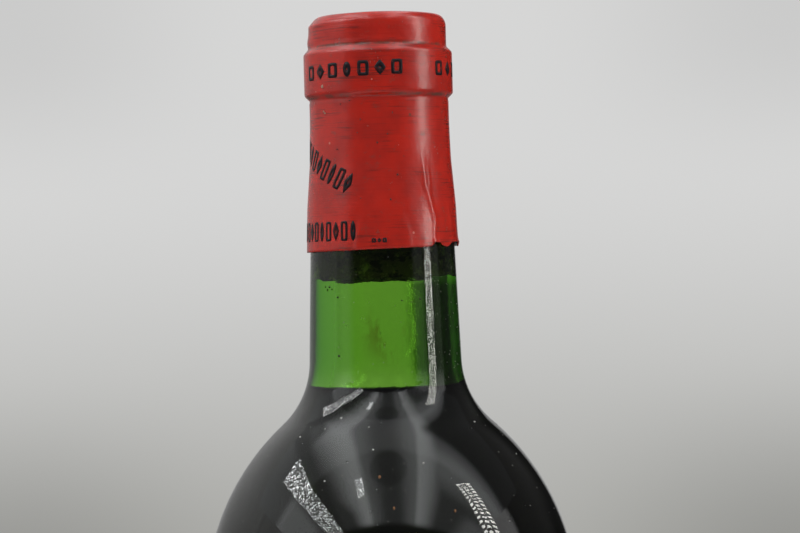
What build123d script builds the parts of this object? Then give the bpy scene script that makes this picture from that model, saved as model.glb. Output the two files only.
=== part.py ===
from build123d import *
import os
from math import atan2, cos, degrees, radians, sin, sqrt, tan

# A corked 75 cl Bordeaux wine bottle: a green glass bottle, the wine in it, the cork in
# its neck and the foil capsule over its mouth. Sizes are in millimetres. The bottle
# stands upright on the XY plane: the origin is the centre of its base, +Z is up, and -Y
# is its front. Every outline is drawn in the (radius, height) plane and turned about Z.
# A depth is measured down from the rim of the glass.

# Body
BOTTLE_HEIGHT = 300.0       # base to rim
BODY_RADIUS = 37.7
BODY_WALL = 3.05
SHOULDER_DEPTH = 118.4      # where the straight side ends
SHOULDER_RADIUS = 49.4      # of the convex arc, outside

# Base
HEEL_RADIUS = 6.0
HEEL_RADIUS_INSIDE = 5.0
BASE_THICKNESS = 5.5
FOOT_WIDTH = 10.7           # the side of the body in to the edge of the punt
FOOT_ROUND = 3.0            # of that edge
PUNT_HEIGHT = 20.0
PUNT_TIP_RADIUS = 10.0
PUNT_TIP_ROUND = 10.0

# Neck
NECK_RADIUS = 13.55         # just under the collar
NECK_TAPER = 2.0            # degrees that the neck widens downwards, on each side
NECK_ROOT_RADIUS = 17.4     # of the concave arc into the shoulder, outside
BORE_RADIUS = 9.25          # at the rim
BORE_TAPER = 1.0            # degrees
BORE_ROOT_RADIUS = 22.0     # of the concave arc into the shoulder, inside

# Mouth
COLLAR_PROUD = 1.17         # how far the collar stands out of the neck
COLLAR_DEPTH = 6.0          # of its upper edge
COLLAR_LENGTH = 10.3
COLLAR_BEVEL = 1.0          # height of the slopes above and below its flat band
COLLAR_ROUND = 0.6
LIP_PROUD = 0.05            # how far the lip stands out of the neck
LIP_ROUND = 1.6
MOUTH_ROUND = 0.8           # of the rim's inner edge

# Cork and wine
CORK_RECESS = 1.0           # rim down to the cork
CORK_LENGTH = 52.0
FILL_DEPTH = 75.6

# Capsule
FOIL_THICKNESS = 0.25
FOIL_GAP = 0.05             # between the glass and the foil drawn tight over it
FOIL_BRIDGE = 0.15          # how far past each edge of the collar the foil spans
HEM_DEPTH = 46.5            # of the capsule's lower edge
HEM_SLANT = 1.4             # degrees, lowest at -X
HEM_FLARE = 0.42            # how far the hem stands off the neck
FLARE_RISE = 17.5           # hem up to where the foil lies tight
FLARE_BAND = 8.5            # hem up to where it stands off by HEM_FLARE
FLARE_ROUND = 30.0          # of the bends at both

# Tears in the hem: (degrees from the front towards +X, width, depth)
TEARS = [(45.0, 2.6, 1.3), (68.0, 4.2, 1.2)]

shoulder_height = BOTTLE_HEIGHT - SHOULDER_DEPTH
foot_radius = BODY_RADIUS - FOOT_WIDTH
collar_top = BOTTLE_HEIGHT - COLLAR_DEPTH
collar_bottom = collar_top - COLLAR_LENGTH
collar_radius = NECK_RADIUS + COLLAR_PROUD
lip_radius = NECK_RADIUS + LIP_PROUD


def turned(outline):
    """The solid made by turning a closed outline, given as edges, about the Z axis."""
    return revolve(Plane.XZ * make_face(outline), Axis.Z)


def neck_radius(height):
    """Outer radius of the neck at a height below the collar."""
    return NECK_RADIUS + (collar_bottom - height) * tan(radians(NECK_TAPER))


def shoulder(side, convex_radius, concave_radius, neck_top, taper):
    """The curve from the body's side up to the neck, as two arcs.

    The first arc leaves the point `side` upright and curves in. The second is tangent to
    it and to the neck, the line that falls from `neck_top` and widens by `taper` degrees.
    """
    down = Vector(sin(radians(taper)), -cos(radians(taper)))
    outward = Vector(cos(radians(taper)), sin(radians(taper)))
    centre = Vector(side.X - convex_radius, side.Y)
    reach = Vector(*neck_top) + outward * concave_radius - centre
    apart = convex_radius + concave_radius
    fall = -reach.dot(down) - sqrt(reach.dot(down) ** 2 - reach.length**2 + apart**2)
    between = reach + down * fall
    lean = degrees(atan2(between.Y, between.X))
    convex = JernArc(side, (0, 1), convex_radius, lean)
    concave = JernArc(convex @ 1, convex % 1, concave_radius, taper - lean)
    return convex, concave


def bottle_outside():
    """The whole bottle as if it were solid glass."""
    base = FilletPolyline(
        (0, PUNT_HEIGHT),
        (PUNT_TIP_RADIUS, PUNT_HEIGHT),
        (foot_radius, 0),
        (BODY_RADIUS, 0),
        (BODY_RADIUS, shoulder_height),
        radius=[PUNT_TIP_ROUND, FOOT_ROUND, HEEL_RADIUS],
    )
    neck_top = (NECK_RADIUS, collar_bottom)
    convex, concave = shoulder(
        base @ 1, SHOULDER_RADIUS, NECK_ROOT_RADIUS, neck_top, NECK_TAPER
    )
    mouth = FilletPolyline(
        concave @ 1,
        neck_top,
        (collar_radius, collar_bottom + COLLAR_BEVEL),
        (collar_radius, collar_top - COLLAR_BEVEL),
        (lip_radius, collar_top),
        (lip_radius, BOTTLE_HEIGHT),
        (0, BOTTLE_HEIGHT),
        radius=[COLLAR_ROUND] * 4 + [LIP_ROUND],
    )
    axis = Line(mouth @ 1, base @ 0)
    return turned([base, convex, concave, mouth, axis])


def bottle_inside():
    """The space inside the glass, from the raised floor to the rim."""
    floor = PUNT_HEIGHT + BASE_THICKNESS
    side = BODY_RADIUS - BODY_WALL
    base = FilletPolyline(
        (0, floor),
        (PUNT_TIP_RADIUS, floor),
        (foot_radius, BASE_THICKNESS),
        (side, BASE_THICKNESS),
        (side, shoulder_height),
        radius=[PUNT_TIP_ROUND + BASE_THICKNESS, FOOT_ROUND, HEEL_RADIUS_INSIDE],
    )
    rim = (BORE_RADIUS, BOTTLE_HEIGHT)
    convex, concave = shoulder(
        base @ 1, SHOULDER_RADIUS - BODY_WALL, BORE_ROOT_RADIUS, rim, BORE_TAPER
    )
    bore = Polyline(concave @ 1, rim, (0, BOTTLE_HEIGHT), base @ 0)
    return turned([base, convex, concave, bore])


def layer(bottom, top):
    """A slab wider than the bottle between two heights."""
    middle = (0, 0, (bottom + top) / 2)
    return Pos(*middle) * Cylinder(2 * BODY_RADIUS, top - bottom)


def make_glass():
    """The glass: the outside less the inside, with the rim's inner edge rounded."""
    glass = bottle_outside() - bottle_inside()
    rim = glass.edges().filter_by(GeomType.CIRCLE).group_by(Axis.Z)[-1]
    return fillet(rim.sort_by(SortBy.RADIUS)[0], MOUTH_ROUND)


def make_wine():
    """The wine, which fills the inside up to its level."""
    return bottle_inside() & layer(0, BOTTLE_HEIGHT - FILL_DEPTH)


def make_cork():
    """The cork, squeezed into the bore and shaped by it."""
    top = BOTTLE_HEIGHT - CORK_RECESS
    return bottle_inside() & layer(top - CORK_LENGTH, top)


def foil_form(offset, top):
    """The form that the foil is drawn over, `offset` outside the glass and closed at `top`.

    It runs well below the hem, where it is trimmed later.
    """
    hem = BOTTLE_HEIGHT - HEM_DEPTH
    bottom = hem - BODY_RADIUS
    side = FilletPolyline(
        (neck_radius(bottom) + HEM_FLARE + offset, bottom),
        (neck_radius(hem + FLARE_BAND) + HEM_FLARE + offset, hem + FLARE_BAND),
        (neck_radius(hem + FLARE_RISE) + offset, hem + FLARE_RISE),
        (NECK_RADIUS + offset, collar_bottom - FOIL_BRIDGE),
        (collar_radius + offset, collar_bottom + COLLAR_BEVEL),
        (collar_radius + offset, collar_top - COLLAR_BEVEL),
        (lip_radius + offset, collar_top + FOIL_BRIDGE),
        (lip_radius + offset, top),
        (0, top),
        radius=[FLARE_ROUND] * 2 + [COLLAR_ROUND] * 4 + [LIP_ROUND + offset],
    )
    return turned([side, Polyline(side @ 1, (0, bottom), side @ 0)])


def tear(angle, width, depth):
    """The gap left by a tear: a wedge that widens downwards past the slanting hem."""
    side_step = NECK_RADIUS * sin(radians(angle))
    hem = BOTTLE_HEIGHT - HEM_DEPTH + side_step * tan(radians(HEM_SLANT))
    gap = make_face(Polyline((-width, -depth), (width, -depth), (0, depth), close=True))
    wedge = extrude(Plane.XZ * gap, 2 * collar_radius)
    return Pos(0, 0, hem) * Rot(0, 0, angle) * wedge


def make_capsule():
    """The foil capsule, trimmed along its slanting hem and torn there."""
    outer = foil_form(FOIL_GAP + FOIL_THICKNESS, BOTTLE_HEIGHT + FOIL_THICKNESS)
    capsule = outer - foil_form(FOIL_GAP, BOTTLE_HEIGHT)
    hem = Plane(
        origin=(0, 0, BOTTLE_HEIGHT - HEM_DEPTH),
        z_dir=(-sin(radians(HEM_SLANT)), 0, cos(radians(HEM_SLANT))),
    )
    capsule = split(capsule, bisect_by=hem, keep=Keep.TOP)
    for angle, width, depth in TEARS:
        capsule -= tear(angle, width, depth)
    return capsule


PIECES = {
    "glass_bottle": make_glass,
    "wine": make_wine,
    "cork": make_cork,
    "capsule": make_capsule,
}

os.makedirs("parts", exist_ok=True)
for name, make in PIECES.items():
    piece = make()
    export_step(piece, f"parts/{name}.step")
    print(name, "volume", round(piece.volume / 1000, 1), "cm3")
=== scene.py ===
import logging
import math
from dataclasses import dataclass, field
from enum import Enum
from functools import reduce

import bpy
import numpy as np
from mathutils import Matrix, Vector


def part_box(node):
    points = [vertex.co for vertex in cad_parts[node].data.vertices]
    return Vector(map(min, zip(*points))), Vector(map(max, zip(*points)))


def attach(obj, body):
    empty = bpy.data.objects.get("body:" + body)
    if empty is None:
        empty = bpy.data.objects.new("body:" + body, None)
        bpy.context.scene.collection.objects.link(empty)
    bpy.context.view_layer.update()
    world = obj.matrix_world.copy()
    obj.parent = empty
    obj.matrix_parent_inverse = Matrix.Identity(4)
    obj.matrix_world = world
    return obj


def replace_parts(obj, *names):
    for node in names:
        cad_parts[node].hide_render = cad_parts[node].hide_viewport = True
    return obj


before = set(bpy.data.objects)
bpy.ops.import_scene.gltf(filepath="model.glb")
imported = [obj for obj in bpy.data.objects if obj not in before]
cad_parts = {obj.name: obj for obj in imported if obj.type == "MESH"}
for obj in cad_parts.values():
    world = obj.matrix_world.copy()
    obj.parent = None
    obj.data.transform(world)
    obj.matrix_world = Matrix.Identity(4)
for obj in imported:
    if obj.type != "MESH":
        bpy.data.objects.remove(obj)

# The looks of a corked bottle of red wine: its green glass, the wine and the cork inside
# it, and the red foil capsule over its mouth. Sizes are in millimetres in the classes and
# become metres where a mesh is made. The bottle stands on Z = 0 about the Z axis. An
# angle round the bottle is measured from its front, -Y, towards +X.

MM = 0.001
TURN = 2 * math.pi
LOG = logging.getLogger("wine_bottle")
NO_TRIANGLES = np.zeros((0, 3), dtype=int)
ONE_QUAD = np.array([[0, 1, 2, 3]])
WHITE = (1.0, 1.0, 1.0)
Colour = tuple[float, float, float]
Place = tuple[float, float, float]
Span = tuple[float, float]
Spot = tuple[float, float]
Socket = bpy.types.NodeSocket


# Outlines and surfaces


def arc(centre: np.ndarray, radius: float, start: float, end: float) -> np.ndarray:
    """Points along an arc, about two degrees apart.

    Formula: centre + radius * (cos a, sin a), with a running evenly from start to end.

    Args:
        centre: The arc's centre, (radius, height).
        radius: The arc's radius.
        start: First angle in radians.
        end: Last angle in radians.

    Returns:
        The points, one row each.
    """
    count = max(3, math.ceil(abs(end - start) / math.radians(2)))
    angle = np.linspace(start, end, count)
    return centre + radius * np.stack([np.cos(angle), np.sin(angle)], axis=1)


def rounded(corners: list[Spot], radii: list[float]) -> np.ndarray:
    """Straight runs joined by tangent arcs.

    Formula: where the path turns by an angle a, the arc of radius r starts
    r * tan(a / 2) before the corner, and its centre is r to the side it turns to.

    Args:
        corners: The path's corners, (radius, height).
        radii: One radius for each inner corner.

    Returns:
        The points of the rounded path.
    """
    points = np.array(corners, dtype=float)
    runs = [points[:1]]
    for before, corner, after, radius in zip(points, points[1:], points[2:], radii):
        into = (corner - before) / np.linalg.norm(corner - before)
        out = (after - corner) / np.linalg.norm(after - corner)
        turn = math.atan2(into[0] * out[1] - into[1] * out[0], into @ out)
        side = math.copysign(1, turn)
        start = corner - into * radius * math.tan(abs(turn) / 2)
        spoke = side * np.array([into[1], -into[0]])
        first = math.atan2(spoke[1], spoke[0])
        runs.append(arc(start - spoke * radius, radius, first, first + turn))
    runs.append(points[-1:])
    return np.concatenate(runs)


def resampled(path: np.ndarray, pace: np.ndarray) -> np.ndarray:
    """The same path with points spaced by a pace that varies along it.

    Formula: the cumulative sum of length / pace counts the steps along the path, and the
    new points lie where that count takes evenly spaced values.

    Args:
        path: The path's points.
        pace: The wanted spacing at each point.

    Returns:
        The new points.
    """
    step = np.linalg.norm(np.diff(path, axis=0), axis=1)
    count = np.concatenate([[0], np.cumsum(step / ((pace[1:] + pace[:-1]) / 2))])
    even = np.linspace(0, count[-1], max(2, round(count[-1])) + 1)
    return np.stack([np.interp(even, count, path[:, i]) for i in (0, 1)], axis=1)


def subdivided(path: np.ndarray, longest: float) -> np.ndarray:
    """The same path with no run longer than a length, so that a pace can vary along it.

    Args:
        path: The path's points.
        longest: The longest run allowed.

    Returns:
        The points, with new ones between them.
    """
    step = np.linalg.norm(np.diff(path, axis=0), axis=1)
    length = np.concatenate([[0], np.cumsum(step)])
    even = np.linspace(0, length[-1], math.ceil(length[-1] / longest))
    every = np.unique(np.concatenate([length, even]))
    return np.stack([np.interp(every, length, path[:, i]) for i in (0, 1)], axis=1)


def ripple(around: np.ndarray, up: np.ndarray, turns: int, rise: float, seed: int) -> np.ndarray:
    """Smooth waviness between about -1 and 1 that closes round the bottle.

    Formula: the mean of twelve waves cos(k * around + q * up + phase), times two, with k
    a whole number up to `turns` and q a random rate up to `rise`.

    Args:
        around: Angle round the axis in radians.
        up: Height in millimetres.
        turns: Most waves round the bottle.
        rise: Most radians of wave for each millimetre of height.
        seed: Which waviness.

    Returns:
        One value for each point.
    """
    draw = np.random.default_rng(seed)
    total = np.zeros(np.broadcast(around, up).shape)
    for _ in range(12):
        k, q, phase = draw.integers(0, turns + 1), draw.uniform(-rise, rise), draw.uniform(0, TURN)
        total = total + np.cos(k * around + q * up + phase)
    return total / 6


def ramp(value: np.ndarray, start: float, end: float) -> np.ndarray:
    """0 up to the start, 1 from the end on, and straight between."""
    return np.clip((value - start) / (end - start), 0, 1)


def signed(angle: np.ndarray) -> np.ndarray:
    """The same angles, in radians, within half a turn either way."""
    return np.mod(angle + math.pi, TURN) - math.pi


def angles(segments: int) -> np.ndarray:
    """Evenly spaced angles once round the axis."""
    return np.arange(segments) * TURN / segments


def around_axis(radius: np.ndarray, angle: np.ndarray, height: np.ndarray) -> np.ndarray:
    """Points in metres: (radius * sin angle, -radius * cos angle, height)."""
    points = np.stack(np.broadcast_arrays(radius * np.sin(angle), -radius * np.cos(angle), height), -1)
    return points * MM


def grid_faces(rows: int, columns: int) -> np.ndarray:
    """Quads of a grid that closes round its columns, facing out when rows run upwards.

    Args:
        rows: Rings of points.
        columns: Points round each ring.

    Returns:
        Four vertex numbers a row.
    """
    row, column = np.meshgrid(np.arange(rows - 1), np.arange(columns), indexing="ij")
    right = (column + 1) % columns
    quads = np.stack(
        [row * columns + column, row * columns + right, (row + 1) * columns + right,
         (row + 1) * columns + column], axis=-1)
    return quads.reshape(-1, 4)


def make_mesh(name: str, points: np.ndarray, quads: np.ndarray, triangles: np.ndarray) -> bpy.types.Mesh:
    """Puts whole arrays of points, quads and triangles into a smooth-shaded mesh.

    Args:
        name: The mesh's name.
        points: Vertices in metres.
        quads: Four vertex numbers a row.
        triangles: Three vertex numbers a row.

    Returns:
        The mesh.
    """
    mesh = bpy.data.meshes.new(name)
    mesh.vertices.add(len(points))
    mesh.vertices.foreach_set("co", points.astype(np.float32).ravel())
    corners = np.concatenate([quads.ravel(), triangles.ravel()]).astype(np.int32)
    starts = np.concatenate([np.arange(len(quads)) * 4,
                             len(quads) * 4 + np.arange(len(triangles)) * 3]).astype(np.int32)
    mesh.loops.add(len(corners))
    mesh.loops.foreach_set("vertex_index", corners)
    mesh.polygons.add(len(starts))
    mesh.polygons.foreach_set("loop_start", starts)
    mesh.polygons.foreach_set("use_smooth", np.ones(len(starts), dtype=bool))
    mesh.update(calc_edges=True)
    mesh.validate()
    return mesh


def closed_surface(name: str, grid: np.ndarray, start: np.ndarray, end: np.ndarray) -> bpy.types.Mesh:
    """A closed mesh from rings of points, with a pole before the first and after the last.

    Args:
        name: The mesh's name.
        grid: Rings of points in metres, counterclockwise from above, so that a surface
            whose rings climb faces outwards.
        start: The pole that the first ring closes to.
        end: The pole that the last ring closes to.

    Returns:
        The mesh.
    """
    rows, columns = grid.shape[:2]
    points = np.concatenate([grid.reshape(-1, 3), [start, end]])
    ring = np.arange(columns)
    right = (ring + 1) % columns
    low, high = rows * columns, rows * columns + 1
    last = (rows - 1) * columns
    caps = np.concatenate([
        np.stack([right, ring, np.full(columns, low)], axis=1),
        np.stack([last + ring, last + right, np.full(columns, high)], axis=1)])
    return make_mesh(name, points, grid_faces(rows, columns), caps)


def placed(data: bpy.types.Mesh | bpy.types.Camera, *materials: bpy.types.Material) -> bpy.types.Object:
    """Puts a mesh or a camera in the scene, under its own name, with its materials.

    Args:
        data: The mesh or the camera.
        materials: The mesh's materials.

    Returns:
        The object.
    """
    thing = bpy.data.objects.new(data.name, data)
    bpy.context.scene.collection.objects.link(thing)
    for material in materials:
        data.materials.append(material)
    return thing


def show(mesh: bpy.types.Mesh, slot: str, *materials: bpy.types.Material) -> bpy.types.Object:
    """Shows a mesh as a piece of the bottle, with its materials.

    Args:
        mesh: The mesh.
        slot: The record's material slot, which is not used.
        materials: The mesh's materials.

    Returns:
        The piece.
    """
    piece = placed(mesh, *materials)
    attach(piece, "root")
    return piece


# Materials


class Graph:
    """Adds nodes to a node tree and joins them."""

    def __init__(self, tree: bpy.types.NodeTree) -> None:
        """Starts on a tree, emptied of its nodes."""
        self.tree = tree
        tree.nodes.clear()

    def add(self, kind: str, inputs: dict | None = None, **settings: object) -> bpy.types.Node:
        """Adds a node.

        Args:
            kind: The node's type.
            inputs: Values or sockets by input name or number.
            settings: The node's own properties.

        Returns:
            The node.
        """
        node = self.tree.nodes.new(kind)
        for name, value in settings.items():
            setattr(node, name, value)
        for name, value in (inputs or {}).items():
            self.feed(node.inputs[name], value)
        return node

    def feed(self, socket: Socket, value: object) -> None:
        """Links a socket to another one, or sets its plain value.

        Args:
            socket: The input to set.
            value: A socket, a colour or a plain value.
        """
        if isinstance(value, bpy.types.NodeSocket):
            self.tree.links.new(value, socket)
        elif isinstance(value, tuple) and len(value) == 3 and socket.type == "RGBA":
            socket.default_value = (*value, 1)
        else:
            socket.default_value = value

    def bump(self, height: Socket, distance: float) -> Socket:
        """A Bump node's normal, for a height in units of `distance` metres."""
        return self.add("ShaderNodeBump", {"Height": height, "Distance": distance}).outputs[0]

    def principled(self, inputs: dict) -> None:
        """Ends the material in a Principled shader with these values and sockets."""
        shader = self.add("ShaderNodeBsdfPrincipled", inputs)
        self.add("ShaderNodeOutputMaterial", {"Surface": shader.outputs[0]})

    def axes(self, vector: Socket) -> tuple[Socket, Socket, Socket]:
        """The vector's X, Y and Z."""
        split = self.add("ShaderNodeSeparateXYZ", {0: vector})
        return split.outputs[0], split.outputs[1], split.outputs[2]

    def azimuth(self, x: Socket, y: Socket) -> Socket:
        """Degrees round the axis from the front, -Y, towards +X."""
        turn = self.math("ARCTAN2", x, self.math("MULTIPLY", y, -1.0))
        return self.math("MULTIPLY", turn, 360 / TURN)

    def distance(self, vector: Socket, spot: Place) -> Socket:
        """How far the vector is from a spot."""
        return self.vector("DISTANCE", vector, spot).outputs["Value"]

    def math(self, operation: str, *values: object) -> Socket:
        """One Math node's output."""
        return self.add("ShaderNodeMath", dict(enumerate(values)), operation=operation).outputs[0]

    def product(self, *values: object) -> Socket:
        """All the values multiplied."""
        return reduce(lambda first, second: self.math("MULTIPLY", first, second), values)

    def total(self, *values: object) -> Socket:
        """All the values added."""
        return reduce(lambda first, second: self.math("ADD", first, second), values)

    def line(self, value: object, slope: object, offset: object) -> Socket:
        """value * slope + offset."""
        return self.math("MULTIPLY_ADD", value, slope, offset)

    def between(self, share: object, first: float, second: float) -> Socket:
        """A value that goes from the first to the second as share goes from 0 to 1."""
        return self.line(share, second - first, first)

    def vector(self, operation: str, *values: object) -> bpy.types.Node:
        """One Vector Math node."""
        return self.add("ShaderNodeVectorMath", dict(enumerate(values)), operation=operation)

    def step(self, value: object, low: object, high: object) -> Socket:
        """0 below `low`, 1 above `high`, and smooth between; or the other way round."""
        inputs = {"Value": value, "From Min": low, "From Max": high}
        return self.add("ShaderNodeMapRange", inputs, interpolation_type="SMOOTHSTEP").outputs[0]

    def blend(self, share: object, first: object, second: object) -> Socket:
        """A colour that goes from the first to the second as share goes from 0 to 1.

        Args:
            share: The share of the second colour.
            first: A colour or a socket.
            second: A colour or a socket.

        Returns:
            The colour.
        """
        node = self.add("ShaderNodeMix", data_type="RGBA")
        sockets = [s for s in node.inputs if s.enabled]
        for socket, value in zip(sockets, (share, first, second)):
            self.feed(socket, value)
        return next(s for s in node.outputs if s.enabled)

    def noise(self, vector: object, scale: object, detail: float = 2, rough: float = 0.5) -> Socket:
        """One Noise Texture's value, between 0 and 1."""
        inputs = {"Vector": vector, "Scale": scale, "Detail": detail, "Roughness": rough}
        return self.add("ShaderNodeTexNoise", inputs).outputs[0]

    def cells(self, vector: Socket, scale: object, random: float = 1.0) -> tuple[Socket, Socket, Socket]:
        """A Voronoi Texture's cells.

        Args:
            vector: The place.
            scale: Cells to a metre.
            random: How far the cells stand from a regular grid.

        Returns:
            The distance to the cell's centre, and two random numbers of the cell's own.
        """
        inputs = {"Vector": vector, "Scale": scale, "Randomness": random}
        texture = self.add("ShaderNodeTexVoronoi", inputs)
        pick = self.add("ShaderNodeSeparateColor", {"Color": texture.outputs["Color"]})
        return texture.outputs["Distance"], pick.outputs[0], pick.outputs[1]

    def stretch(self, vector: object, scale: object) -> Socket:
        """The vector with each axis scaled."""
        return self.vector("MULTIPLY", vector, scale).outputs[0]

    def group(self, tree: bpy.types.NodeTree, **inputs: object) -> Socket:
        """The first output of a node group that is given this material's values.

        Args:
            tree: The group.
            inputs: Values or sockets by input name.

        Returns:
            The group's output.
        """
        node = self.add("ShaderNodeGroup", node_tree=tree)
        for name, value in inputs.items():
            self.feed(node.inputs[name], value)
        return node.outputs[0]


def new_group(name: str, output: str, **inputs: str) -> tuple[Graph, dict[str, Socket], Socket]:
    """An empty shader node group with its sockets.

    Args:
        name: The group's name.
        output: Name of its one output, a float.
        inputs: What follows NodeSocket in the type of each input.

    Returns:
        The graph, the sockets inside the group by input name, and the one to feed.
    """
    tree = bpy.data.node_groups.new(name, "ShaderNodeTree")
    for label, kind in inputs.items():
        tree.interface.new_socket(name=label, in_out="INPUT", socket_type=f"NodeSocket{kind}")
    tree.interface.new_socket(name=output, in_out="OUTPUT", socket_type="NodeSocketFloat")
    graph = Graph(tree)
    given = graph.add("NodeGroupInput").outputs
    return graph, {label: given[label] for label in inputs}, graph.add("NodeGroupOutput").inputs[output]


class Effects:
    """The effects that several finishes share, each a node group built once."""

    def __init__(self) -> None:
        """Builds the groups."""
        self.specks = self._specks()
        self.smudges = self._smudges()
        self.lines = self._lines()

    @staticmethod
    def _specks() -> bpy.types.NodeTree:
        """Small separate grains. Mask is 1 in a grain: near the centre of a Voronoi cell
        whose random number falls under Share.

        Returns:
            The group.
        """
        graph, given, out = new_group(
            "specks", "Mask", Vector="Vector", Scale="Float", Share="Float", Size="Float")
        distance, number, other = graph.cells(given["Vector"], given["Scale"])
        chosen = graph.math("LESS_THAN", number, given["Share"])
        size = graph.product(given["Size"], graph.total(other, 0.4))
        grain = graph.step(distance, size, graph.product(size, 0.6))
        graph.feed(out, graph.product(chosen, grain))
        return graph.tree

    @staticmethod
    def _smudges() -> bpy.types.NodeTree:
        """Soft uneven patches. Mask rises from 0 to 1 as a broken-up noise passes Level.

        Returns:
            The group.
        """
        graph, given, out = new_group("smudges", "Mask", Vector="Vector", Scale="Float", Level="Float")
        patch = graph.noise(given["Vector"], given["Scale"], 3, 0.6)
        grain = graph.noise(given["Vector"], graph.product(given["Scale"], 7), 2, 0.6)
        mixed = graph.line(grain, 0.3, graph.product(patch, 0.7))
        graph.feed(out, graph.step(mixed, given["Level"], graph.total(given["Level"], 0.12)))
        return graph.tree

    @staticmethod
    def _lines() -> bpy.types.NodeTree:
        """Fine drawn lines. Height is a noise stretched along the lines by the Stretch
        vector, which is large across the lines and small along them.

        Returns:
            The group.
        """
        graph, given, out = new_group("lines", "Height", Vector="Vector", Stretch="Vector", Scale="Float")
        drawn_out = graph.stretch(given["Vector"], given["Stretch"])
        graph.feed(out, graph.noise(drawn_out, given["Scale"], 3, 0.6))
        return graph.tree


def new_material(name: str) -> tuple[bpy.types.Material, Graph, Socket]:
    """A material with an empty node tree.

    Args:
        name: The material's name.

    Returns:
        The material, its graph and its Object coordinates.
    """
    material = bpy.data.materials.new(name)
    material.use_nodes = True
    graph = Graph(material.node_tree)
    return material, graph, graph.add("ShaderNodeTexCoord").outputs["Object"]


def shaded(colour: Colour, share: float) -> Colour:
    """The colour times a share."""
    return tuple(share * part for part in colour)


@dataclass(frozen=True)
class GlassFinish:
    """Green bottle glass with a fine grain, dust and dried smears inside the neck, and painted shade: a
    dark tint on the neck's +X side.

    A span gives where a soft edge begins and where it is complete: in degrees round the
    bottle, or in metres of height.
    """

    tint: Colour = (0.47, 0.749, 0.04)
    density: float = 390.0
    ior: float = 1.52
    smear: Colour = (0.60, 0.30, 0.25)
    smear_place: Place = (0.0014, -0.0099, 0.2365)
    smear_reach: Span = (0.0075, 0.0015)
    # Painted shade: a dark tint on the neck's +X side between cork and wine, darkest furthest round.
    shade_film: Colour = (0.13, 0.21, 0.065)
    shade_round: tuple[Span, Span] = ((52.0, 58.0), (160.0, 140.0))
    shade_up: tuple[Span, Span] = ((0.2235, 0.2265), (0.2475, 0.2455))
    shade_ragged: float = 14.0
    shade_share: Span = (0.7, 0.95)
    darker_shade_film: Colour = (0.10, 0.075, 0.045)
    darker_shade_round: tuple[Span, Span] = ((53.0, 61.0), (98.0, 90.0))
    grain: float = 0.0000005
    neck_foot: Span = (0.218, 0.226)
    neck_coarser: float = 31.0

    def painted_shade(self, graph: Graph, place: Socket) -> tuple[Socket, Socket]:
        """Painted shade: a dark tint where the neck's +X side looks dark, and where it is darkest.

        It lies on the neck's +X side between cork and wine, is darkest furthest round, and is ragged and
        patchy like a crust of dried wine.

        Args:
            graph: The graph of the glass.
            place: The place on the object.

        Returns:
            The share of painted shade, and the share of it that is darkest.
        """
        x, y, height = graph.axes(place)
        edge = graph.line(graph.noise(place, 260.0, 3, 0.6), self.shade_ragged, graph.azimuth(x, y))
        bounds = [graph.step(edge, *span) for span in self.shade_round]
        bounds += [graph.step(height, *span) for span in self.shade_up]
        patches = graph.noise(graph.stretch(place, (1, 1, 0.5)), 420.0, 3, 0.6)
        worn = graph.between(graph.step(patches, 0.62, 0.42), *self.shade_share)
        darker_share = graph.product(*[graph.step(edge, *span) for span in self.darker_shade_round])
        return graph.product(*bounds, worn), darker_share

    def material(self, effects: Effects) -> bpy.types.Material:
        """Builds the material.

        Args:
            effects: The shared effects.

        Returns:
            The material.
        """
        material, graph, place = new_material("green_glass")
        painted_shade, darker_share = self.painted_shade(graph, place)
        dust = graph.group(effects.specks, Vector=place, Scale=900.0, Share=0.05, Size=0.16)
        drawn_out = graph.stretch(place, (1, 1, 0.45))
        smear = graph.group(effects.smudges, Vector=drawn_out, Scale=170.0, Level=0.5)
        share = graph.product(smear, graph.step(graph.distance(place, self.smear_place), *self.smear_reach))
        in_neck = graph.step(graph.axes(place)[2], *self.neck_foot)
        grain = graph.product(graph.noise(place, 1700.0, 1), graph.between(in_neck, 1.0, self.neck_coarser))
        # The base colour tints the light passing through: white, the smear, and the painted shade on the
        # neck's +X side.
        shader = graph.add("ShaderNodeBsdfPrincipled", {
            "Base Color": graph.blend(painted_shade, graph.blend(share, WHITE, self.smear),
                                      graph.blend(darker_share, self.shade_film, self.darker_shade_film)),
            "Roughness": graph.product(dust, 0.3),
            "IOR": self.ior, "Transmission Weight": 1.0,
            "Normal": graph.bump(grain, self.grain)})
        volume = graph.add("ShaderNodeVolumeAbsorption", {"Color": self.tint, "Density": self.density})
        graph.add("ShaderNodeOutputMaterial", {"Surface": shader.outputs[0], "Volume": volume.outputs[0]})
        return material


@dataclass(frozen=True)
class WineFinish:
    """Old red wine, too deep to see through except in its topmost millimetre."""

    level: float
    body: Colour = (0.0045, 0.0030, 0.0028)
    glint: Colour = (0.012, 0.007, 0.006)
    brim: Colour = (0.050, 0.060, 0.012)
    brim_span: Span = (-0.0006, 0.0003)
    ior: float = 1.34
    ior_in_glass: float = 1.12

    def material(self, surface: bool) -> bpy.types.Material:
        """Builds the material.

        Args:
            surface: True for the wine's free surface, which meets air. Its sides meet
                glass, which is nearly as dense as wine, and so hardly reflect.

        Returns:
            The material.
        """
        material, graph, place = new_material("wine_surface" if surface else "wine_body")
        cloud = graph.noise(place, 45.0, 3, 0.6)
        below, above = self.brim_span
        thin = graph.step(graph.axes(place)[2], self.level + below, self.level + above)
        deep = graph.blend(graph.step(cloud, 0.4, 0.75), self.body, self.glint)
        graph.principled({
            "Base Color": deep if surface else graph.blend(thin, deep, self.brim),
            "Roughness": graph.line(cloud, 0.05, 0.02),
            "IOR": self.ior if surface else self.ior_in_glass})
        return material


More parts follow.
